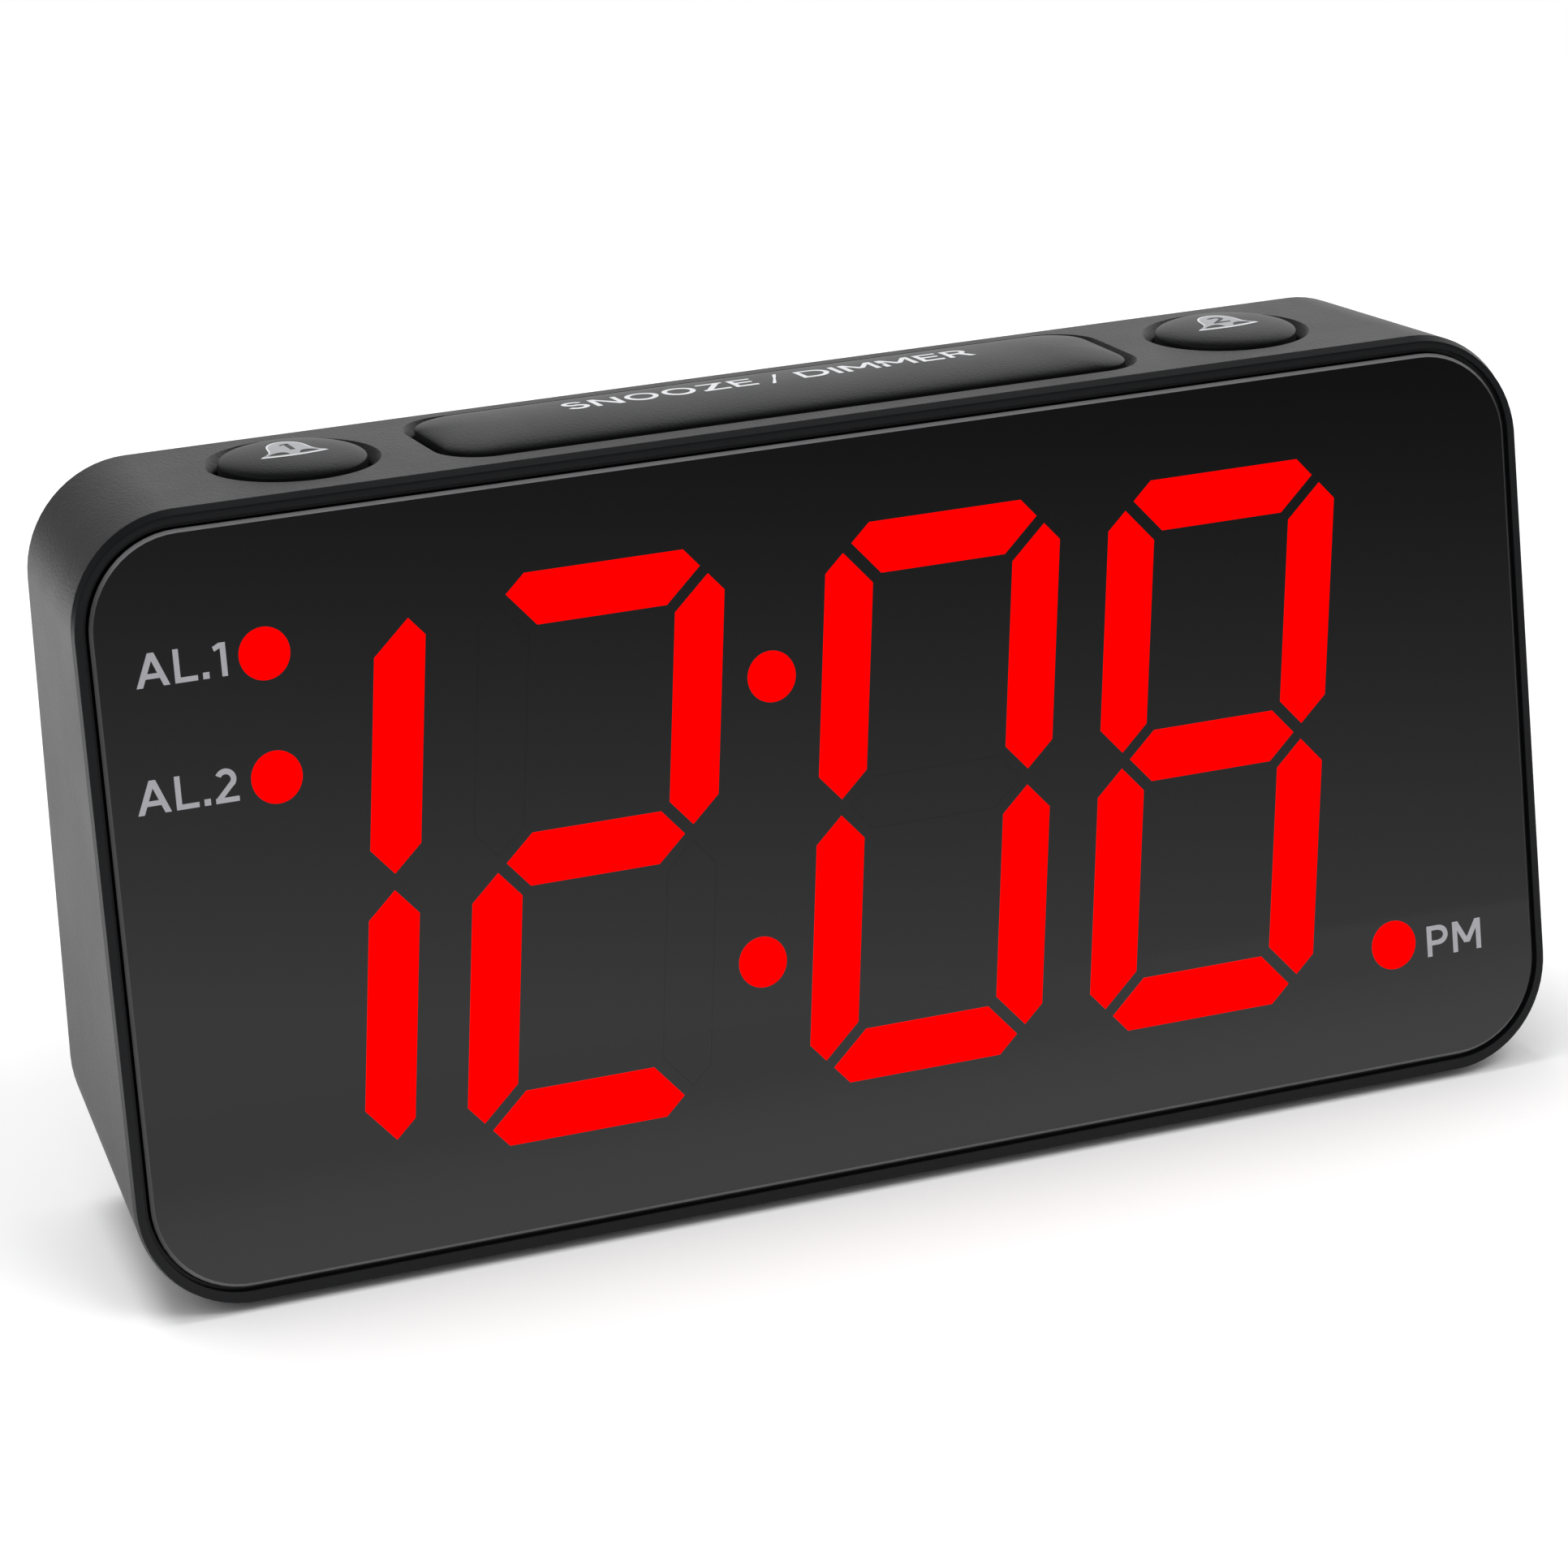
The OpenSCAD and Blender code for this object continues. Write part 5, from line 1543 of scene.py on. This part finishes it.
@dataclass
class BatteryDoor:
    """The hinged door: a plate with a barrel along its low edge, a finger scoop and a latch."""

    w: float = 54.0
    thickness: float = 1.6
    top: float = -1.2           # height of the free edge up the back
    barrel: float = 1.3         # radius of the hinge's barrel
    pin: float = 0.7            # radius of its pins
    pin_root: float = 0.1       # how far a pin reaches into the door
    pin_out: float = 2.0        # how far a pin stands out of the door
    pin_tip: float = 0.2        # bevel of its end
    scoop_r: float = 7.0        # radius of the finger scoop
    scoop_y: float = 1.8        # its middle, up the back
    scoop_deep: float = 0.8
    scoop_edge: float = 0.9     # width of the slope at the scoop's rim
    rib_y: float = -8.9         # middle of the ribs, up the back
    rib_reach: tuple[float, float] = (5.0, 2.6)     # and how far they go across and up from there
    rib_pitch: float = 1.8
    rib: float = 0.25           # how high a rib stands
    edge: float = 0.3           # rounding of the edges
    columns: int = 109          # steps across the flat part
    rows: int = 54              # and up the outer face
    latch: tuple[float, float, float, float] = (12.0, 1.2, -5.3, -3.8)     # w, h, low edge, end

    def section(self) -> Array:
        """The door's section: down the outer face, round the barrel and back up the inner face.

        Returns:
            Points as (height up the back, height over it, kind), where the kind is 1 on the
            outer face and its rounded edge, and 0 elsewhere.
        """
        face = np.linspace(self.top - self.edge, HINGE_Y, self.rows)
        a = np.linspace(0, QUARTER, 5)[:-1]
        edge = np.column_stack((self.top - self.edge * (1 - np.cos(a)), -self.edge * (1 - np.sin(a))))
        meet = math.asin((self.thickness + HINGE_Z) / self.barrel)
        turn = np.linspace(QUARTER, 2 * math.pi - meet, 18)[1:]
        barrel = np.column_stack((HINGE_Y + self.barrel * np.cos(turn),
                                  HINGE_Z + self.barrel * np.sin(turn)))
        outer = np.vstack((edge, np.column_stack((face, np.zeros(len(face))))))
        rest = np.vstack((barrel, ((self.top, -self.thickness),)))
        return np.vstack((np.column_stack((outer, np.ones(len(outer)))),
                          np.column_stack((rest, np.zeros(len(rest))))))

    def build(self) -> None:
        """Builds the door, its pins and its latch.

        The section is carried across the door and drawn in a little at each end. The outer
        face sinks into the scoop by a smooth step of the distance from the scoop's middle,
        and rises in low ribs under it.
        """
        skin = Skin()
        section = self.section()
        half, a = self.w / 2, np.linspace(0, QUARTER, 4)[:-1]
        ends = np.column_stack((half - self.edge * (1 - np.cos(a)), self.edge * (1 - np.sin(a))))
        flat = np.linspace(-half + self.edge, half - self.edge, self.columns)
        xs = np.concatenate((-ends[:, 0], flat, ends[::-1, 0]))
        pull = np.concatenate((ends[:, 1], 0 * flat, ends[::-1, 1]))[:, None]
        y, over, outer = section.T
        x, y = np.broadcast_arrays(xs[:, None], y)
        t = np.clip((self.scoop_r - np.hypot(x, y - self.scoop_y)) / self.scoop_edge, 0, 1)
        waves = np.clip(-np.cos(2 * math.pi * (y - self.rib_y) / self.rib_pitch), 0, 1)
        ribs = waves * (np.abs(x) < self.rib_reach[0]) * (np.abs(y - self.rib_y) < self.rib_reach[1])
        drop = self.rib * ribs - self.scoop_deep * t * t * (3 - 2 * t)
        z = np.where(outer, np.clip(over + drop, -self.thickness, None), over)
        toward = unit(section[:, :2].mean(0) - section[:, :2])
        grid = np.stack((x + BAY_X, y + pull * toward[:, 0], z + pull * toward[:, 1]), -1)
        skin.loft(BACK.place(grid), ends="both")
        across = Datum(BACK.place(np.array((BAY_X, HINGE_Y, HINGE_Z))), BACK.axes[[1, 2, 0]])
        tip = half + self.pin_out
        pin = ((self.pin, half - self.pin_root), (self.pin, tip - self.pin_tip),
               (self.pin - self.pin_tip, tip))
        for side in (-1, 1):
            skin.turned(across, [(r, side * out) for r, out in pin], arc=5)
        w, h, low, end = self.latch
        tongue = Outline(w, h, 0.25, BAY_X, low + h / 2, 3)
        skin.moulded(BACK, tongue, [(-0.2, end), (0, end + 0.2), (0, -self.thickness + 0.05)])
        skin.finish("battery_cover", Stuff.CASE, body="battery_door", slot="case_plastic",
                    nodes=["battery_door"])


@dataclass
class Cells:
    """The two dry cells, nose to tail, with their springs."""

    z: float = -7.45            # of the cells' middles, over the back
    pitch: float = 11.2         # from one cell's middle to the other's
    r: float = 5.25
    length: float = 44.5
    shift: float = 1.8          # how far each cell lies towards its nub's contact
    spring_r: float = 2.0
    spring_grow: float = 0.6    # how much its radius grows in a turn
    spring_turns: float = 3.4
    spring_pitch: float = 1.15
    spring_gap: float = 0.35    # from the cell to the wire's middle
    wire: float = 0.3

    def along(self, side: int) -> Datum:
        """The frame of one cell, from its middle: z runs along it towards its nub.

        Args:
            side: -1 for the lower cell, 1 for the upper one.

        Returns:
            The frame.
        """
        x, y, z = BACK.axes
        place = (BAY_X + side * self.shift, BAY_Y + side * self.pitch / 2, self.z)
        return Datum(BACK.place(np.array(place)), np.array((z * -side, y, x * side)))

    def build(self) -> None:
        """Builds the cells and their springs."""
        cells, springs = Skin(), Skin()
        half, r = self.length / 2, self.r
        tail, nose = -half + 0.75, half - 0.75
        profile = [(3.2, tail + 0.12), (3.6, tail), (4.6, tail), (r - 0.15, tail + 0.2), (r, tail + 0.55),
                   (r, nose - 0.6), (r - 0.12, nose - 0.2), (4.4, nose), (2.6, nose), (1.9, nose + 0.15),
                   (1.9, nose + 0.45), (1.6, nose + 0.65)]
        for side in (-1, 1):
            cells.turned(self.along(side), profile, arc=16)
            springs.loft(self.coil(side, tail), ends="both")
        cells.finish("dry_cells", Stuff.CELL, slot="cell_jacket", nodes=["battery_cells"])
        springs.finish("cell_springs", Stuff.SPRING, slot="spring_steel", nodes=["battery_springs"])

    def coil(self, side: int, tail: float) -> Array:
        """The wire of a conical spring behind a cell.

        Its middle line is a helix whose radius grows with the turn, and each ring of the
        wire lies across the helix, on the outward ray and the direction along the cell.

        Args:
            side: which cell, as for its frame.
            tail: where the cell's flat end lies along it.

        Returns:
            The rings of the wire, in the part's frame.
        """
        turn = np.linspace(0, self.spring_turns * 2 * math.pi, 110)
        reach = self.spring_r + self.spring_grow * turn / (2 * math.pi)
        spread = np.linspace(0, 2 * math.pi, 8, endpoint=False)
        out = reach[:, None] + self.wire * np.cos(spread)
        helix = -self.spring_gap - self.spring_pitch * turn[:, None] / (2 * math.pi)
        down = helix + self.wire * np.sin(spread)
        ray = np.stack((np.cos(turn), np.sin(turn)), -1)[:, None]
        points = np.concatenate((out[..., None] * ray, (tail + down)[..., None]), -1)
        return self.along(side).place(points)


@dataclass
class Back:
    """The screws, feet, sockets and marks of the back and underside."""

    head: float = 2.7           # radius of a screw's head
    dome: float = 1.7           # its height
    arm: tuple[float, float] = (0.34, 1.65)         # half the recess's width, and its reach
    arm_edge: tuple[float, float] = (0.1, 0.35)     # widths of the slopes at its side and end
    recess: tuple[float, float] = (0.95, 0.2)       # its depth in the middle, and its rise outwards
    shank: tuple[tuple[float, float], ...] = ((1.0, 0.0), (1.0, -13.2), (0.25, -14.0))
    foot_edge: float = 0.35     # rounding of a foot's lower edge
    marks: Lettering = Lettering(1.7, t=0.15, gap=0.2, space=0.4)

    def screw_head(self, datum: Datum) -> Array:
        """A domed head with a cross recess, as a polar grid.

        The height is a cap of an ellipse, less a cross that is deepest in the middle and
        slopes up to its ends.

        Args:
            datum: the head's frame, with z out of it.

        Returns:
            Rings of points from the middle out, in the part's frame.
        """
        reach = np.linspace(0.02, 1, 18)[:, None] * self.head
        turn = np.linspace(0, 2 * math.pi, 96, endpoint=False)
        x, y = reach * np.cos(turn), reach * np.sin(turn)
        height = self.dome * np.sqrt(1 - (reach / self.head * 0.93) ** 2) + 0 * turn
        arm = np.minimum(np.abs(x), np.abs(y))
        cross = ((limit - way) / edge for limit, way, edge in zip(self.arm, (arm, reach), self.arm_edge))
        share = math.prod(np.clip(edge, 0, 1) for edge in cross)
        deep, rise = self.recess
        return datum.place(np.stack((x, y, height - (deep - rise * reach) * share), -1))

    def screws(self) -> None:
        """Builds the case screws, deep in their wells."""
        skin = Skin()
        for x, y in SCREWS:
            under = FACE.at(x, y, -self.seat(y))
            out = Datum(under.origin, under.axes * ((1,), (-1,), (-1,)))
            grid = self.screw_head(out)
            skin.loft(grid, ends="first")
            rim = out.flat(grid[-1]) / self.head
            shank = [out.lifted(rim * r, z) for r, z in ((self.head, 0.0), *self.shank)]
            skin.loft([grid[-1], *shank], ends="last")
        skin.finish("case_fixings", Stuff.OXIDE, slot="dark_steel", nodes=["case_screws"])

    def seat(self, y: float) -> float:
        """How far behind the face a case screw's head sits.

        Args:
            y: the screw's place up the face.

        Returns:
            The depth.
        """
        case = Case()
        middle = (case.rear_top[0] + case.rear_low[0]) / 2, (case.rear_top[1] + case.rear_low[1]) / 2
        slope = (case.rear_low[0] - case.rear_top[0]) / (case.rear_top[1] - case.rear_low[1])
        return middle[0] - (y - middle[1]) * slope - case.sunk

    def feet(self) -> None:
        """Builds the four rubber feet."""
        places = foot_places()
        for name, pair in (("front_feet", places[:2]), ("rear_feet", places[2:])):
            skin = Skin()
            for x, y, r, top in pair:
                e = self.foot_edge
                tread = [(r * 0.55, 0.12), (r * 0.62, 0.0), (r - e, 0.0), (r - 0.3 * e, 0.1), (r, e),
                         (r, top)]
                skin.turned(Datum(np.array((x, y, 0.0)), np.eye(3)), tread)
            skin.finish(name + "_pads", Stuff.RUBBER, slot="foot_rubber", nodes=[name])

    def print_marks(self) -> None:
        """Prints the small words beside the rear controls."""
        ink, skin = Print(BACK), Skin()
        for text, x, y in (("TIME", 14, 21.4), ("HOUR", 30, 21.4), ("MIN", 46, 21.4), ("VOL", 30, -9.4),
                           ("-", 24.6, -4.85), ("+", 35.4, -4.85), ("DC IN", 48, -16.6)):
            ink.put(skin, self.marks.write(text, x, y))
        skin.finish("back_print", Stuff.INK)

    def build(self) -> None:
        """Builds the fixings, feet and marks, and dresses the parts that keep their shapes."""
        self.screws()
        self.feet()
        self.print_marks()
        soften("volume_knob", Stuff.ACETAL, "volume_slide", "volume_knob", 0.12)
        soften("dc_jack", Stuff.JACK, "dc_socket", "clock_body", 0.12)
        soften("dc_jack_pin", Stuff.SPRING, "dc_socket_pin", "clock_body", 0.15)
        wear({Stuff.TIN: ("volume_switch", "clock_crystal"), Stuff.SPRING: ("battery_contacts",),
              Stuff.BOARD: ("main_board",), Stuff.ZINC: ("main_board_screws",),
              Stuff.EPOXY: ("controller_chip",), Stuff.SLEEVE: ("capacitors",),
              Stuff.STEEL: ("speaker_frame",), Stuff.PAPER: ("speaker_cone",),
              Stuff.FERRITE: ("speaker_magnet",), Stuff.RED_WIRE: ("speaker_wires", "battery_wires")})


def soften(node: str, stuff: Stuff, name: str, body: str, width: float) -> None:
    """Copies a node of the model and rounds its edges.

    Args:
        node: the node.
        stuff: what it is made of.
        name: the new piece's name.
        body: the body that it moves with.
        width: width of the rounded edges.
    """
    mesh = frame["nodes"][node].data.copy()
    mesh.name = name
    with opened(mesh) as work:
        bmesh.ops.dissolve_limit(work, angle_limit=math.radians(1), verts=work.verts, edges=work.edges)
    cover(mesh, stuff)
    mesh.shade_smooth()
    piece = stand(name, mesh)
    round_off = piece.modifiers.new("round_off", "BEVEL")
    round_off.width = width * MM
    round_off.segments = 2
    round_off.limit_method = "ANGLE"
    round_off.harden_normals = True
    enter(piece, body, [node])


# ---- studio -----------------------------------------------------------------------------


@dataclass
class Studio:
    """The table, the soft light and the camera."""

    azimuth: float = 23.349     # the way the camera looks, from +Y towards +X
    tilt: float = 22.734        # and down
    distance: float = 602.33
    aim: tuple[float, float, float] = (-4.317, -0.362, 35.124)
    lens: float = 131.04
    shift: tuple[float, float] = (0.00937, 0.02241)
    near_clip: float = 20.0
    table_r: float = 450.0
    table: float = 0.8          # share of the light that matt surfaces get back from the table
    table_seen: float = 1.17    # and share of it that the camera gets
    # The share that a shiny face gets, by the places on the table, in metres; near the clock it is lower, a
    # painted shadow for shiny faces
    table_back: Ramp = Ramp(-0.25, -0.05, 0.94, 1.3)
    table_left_painted_shade: Ramp = Ramp(-0.13, -0.08, 1.4, 0.85)
    table_beside: Ramp = Ramp(-0.06, -0.02)         # where the second of them takes over
    # What a shiny face sees of the room, by the direction's height or its reach to the right
    skirt_lean: float = 0.175   # how much lower the room's dark part begins to the right
    skirt: Ramp = Ramp(0.14, 0.017)
    skirt_power: float = 1.45
    front: Ramp = Ramp(low=0.09)
    ceiling: Ramp = Ramp(0.52, 0.92, 1.0, 0.15)
    wall: Ramp = Ramp(-0.25, 0.35, 0.2, 1.0)
    ahead: Ramp = Ramp(-0.2, 0.2)                   # where the front part gives way to the back
    sky: Ramp = Ramp(low=0.1, high=0.86)            # what matt surfaces get, by the height
    soft_wide: float = 24.0     # how wide each soft light looks from the clock, in degrees
    softs: tuple[tuple[float, float, float, float], ...] = (     # the way to each, and its strength
        (-0.14, 0.26, 1.0, 1.0), (0.3, -0.45, 1.0, 0.42))

    def camera(self) -> None:
        """Stands the camera at its distance from the point that it aims at."""
        turn, fall = math.radians(self.azimuth), math.radians(self.tilt)
        ahead = Vector((math.sin(turn) * math.cos(fall), math.cos(turn) * math.cos(fall), -math.sin(fall)))
        right = ahead.cross(Vector((0, 0, 1))).normalized()
        camera = stand("camera", bpy.data.cameras.new("camera"))
        camera.data.lens = self.lens
        camera.data.shift_x, camera.data.shift_y = self.shift
        camera.data.clip_start = self.near_clip * MM
        camera.matrix_world = Matrix((right, right.cross(ahead), -ahead)).transposed().to_4x4()
        camera.matrix_world.translation = (Vector(self.aim) - ahead * self.distance) * MM
        bpy.context.scene.camera = camera

    def floor(self) -> None:
        """Lays the round white table.

        It sends back a share of the light to matt surfaces and more to the camera, which so sees it white
        but for the soft shadow. A shiny face sees it a little dimmer towards the front, where it runs into
        the room, and darker beside the clock, where a painted shadow lies.
        """
        mesh = bpy.data.meshes.new("table")
        ring = lift(circle(self.table_r, arc=24).ring(), 0.0) * MM
        mesh.from_pydata(ring, [], [list(range(len(ring)))])
        made = bpy.data.materials.new("matt_white_laminate")
        made.use_nodes = True
        tree = made.node_tree
        path = add(tree, "LightPath")
        shiny = add(tree, "Math", {0: path["Is Glossy Ray"], 1: path["Is Transmission Ray"]},
                    operation="MAXIMUM")[0]
        across, back, _ = add(tree, "SeparateXYZ", {0: add(tree, "TexCoord")["Object"]})
        far = add(tree, "MapRange", self.table_back.of(back))[0]
        # a painted shadow beside the clock, seen only by shiny faces
        near = add(tree, "MapRange", self.table_left_painted_shade.of(across))[0]
        beside = add(tree, "MapRange", self.table_beside.of(back))[0]
        level = add(tree, "Mix", {"Factor": beside, 2: far, 3: near})[0]
        some = add(tree, "Mix", {"Factor": shiny, 2: self.table, 3: level})[0]
        share = add(tree, "Mix", {"Factor": path["Is Camera Ray"], 2: some, 3: self.table_seen})[0]
        feed(tree.nodes["Principled BSDF"], {"Base Color": share, "Roughness": 0.9,
                                             "Specular IOR Level": 0.0})
        mesh.materials.append(made)
        stand("table", mesh)

    def world(self) -> None:
        """Surrounds the scene with white for the eye and an even fill for matt surfaces.

        A shiny face sees a dim room to the front, above the white table's far edge, and a
        bright one to the back, which fades towards the ceiling and to the left. The light
        for matt surfaces grows evenly from the horizon up.
        """
        world = bpy.data.worlds.new("studio")
        world.use_nodes = True
        bpy.context.scene.world = world
        tree = world.node_tree
        right, ahead, height = add(tree, "SeparateXYZ", {0: add(tree, "TexCoord")["Generated"]})
        leaning = add(tree, "Math", {0: right, 1: self.skirt_lean, 2: height}, operation="MULTIPLY_ADD")[0]
        skirt = add(tree, "MapRange", self.skirt.of(leaning))[0]
        curve = add(tree, "Math", {0: skirt, 1: self.skirt_power}, operation="POWER")[0]
        front = add(tree, "MapRange", self.front.of(curve))[0]
        ceiling = add(tree, "MapRange", self.ceiling.of(height), interpolation_type="SMOOTHSTEP")[0]
        wall = add(tree, "MapRange", self.wall.of(right))[0]
        back = add(tree, "Math", {0: ceiling, 1: wall}, operation="MULTIPLY")[0]
        side = add(tree, "MapRange", self.ahead.of(ahead))[0]
        room = add(tree, "Mix", {"Factor": side, 2: front, 3: back})[0]
        sky = add(tree, "MapRange", self.sky.of(height))[0]
        path = add(tree, "LightPath")
        seen = add(tree, "Mix", {"Factor": path["Is Glossy Ray"], 2: sky, 3: room})[0]
        direct = add(tree, "Math", {0: path["Is Camera Ray"], 1: path["Is Transmission Ray"]},
                     operation="MAXIMUM")[0]
        level = add(tree, "Mix", {"Factor": direct, 2: seen, 3: 1.0})[0]
        feed(tree.nodes["Background"], {"Strength": level, "Color": linear("#FFFFFF")})

    def lamps(self) -> None:
        """Hangs the two soft lights high over the table, out of sight of shiny faces."""
        for *way, power in self.softs:
            lamp = stand("soft_light", bpy.data.lights.new("soft_light", "SUN"))
            lamp.data.energy = power
            lamp.data.angle = math.radians(self.soft_wide)
            lamp.matrix_world = Vector(way).to_track_quat("Z", "Y").to_matrix().to_4x4()
            lamp.visible_glossy = False

    def build(self) -> None:
        """Builds the studio."""
        self.camera()
        self.floor()
        self.world()
        self.lamps()
        bpy.context.scene.view_settings.view_transform = "Standard"


def main() -> None:
    """Builds the studio and the clock, piece by piece."""
    logging.basicConfig(level=logging.INFO, format="%(name)s: %(message)s")
    for part in (Studio(), Case(), Bezel(), Display(), Keys(), BatteryDoor(), Cells(), Back()):
        part.build()


if __name__ == "__main__":
    main()
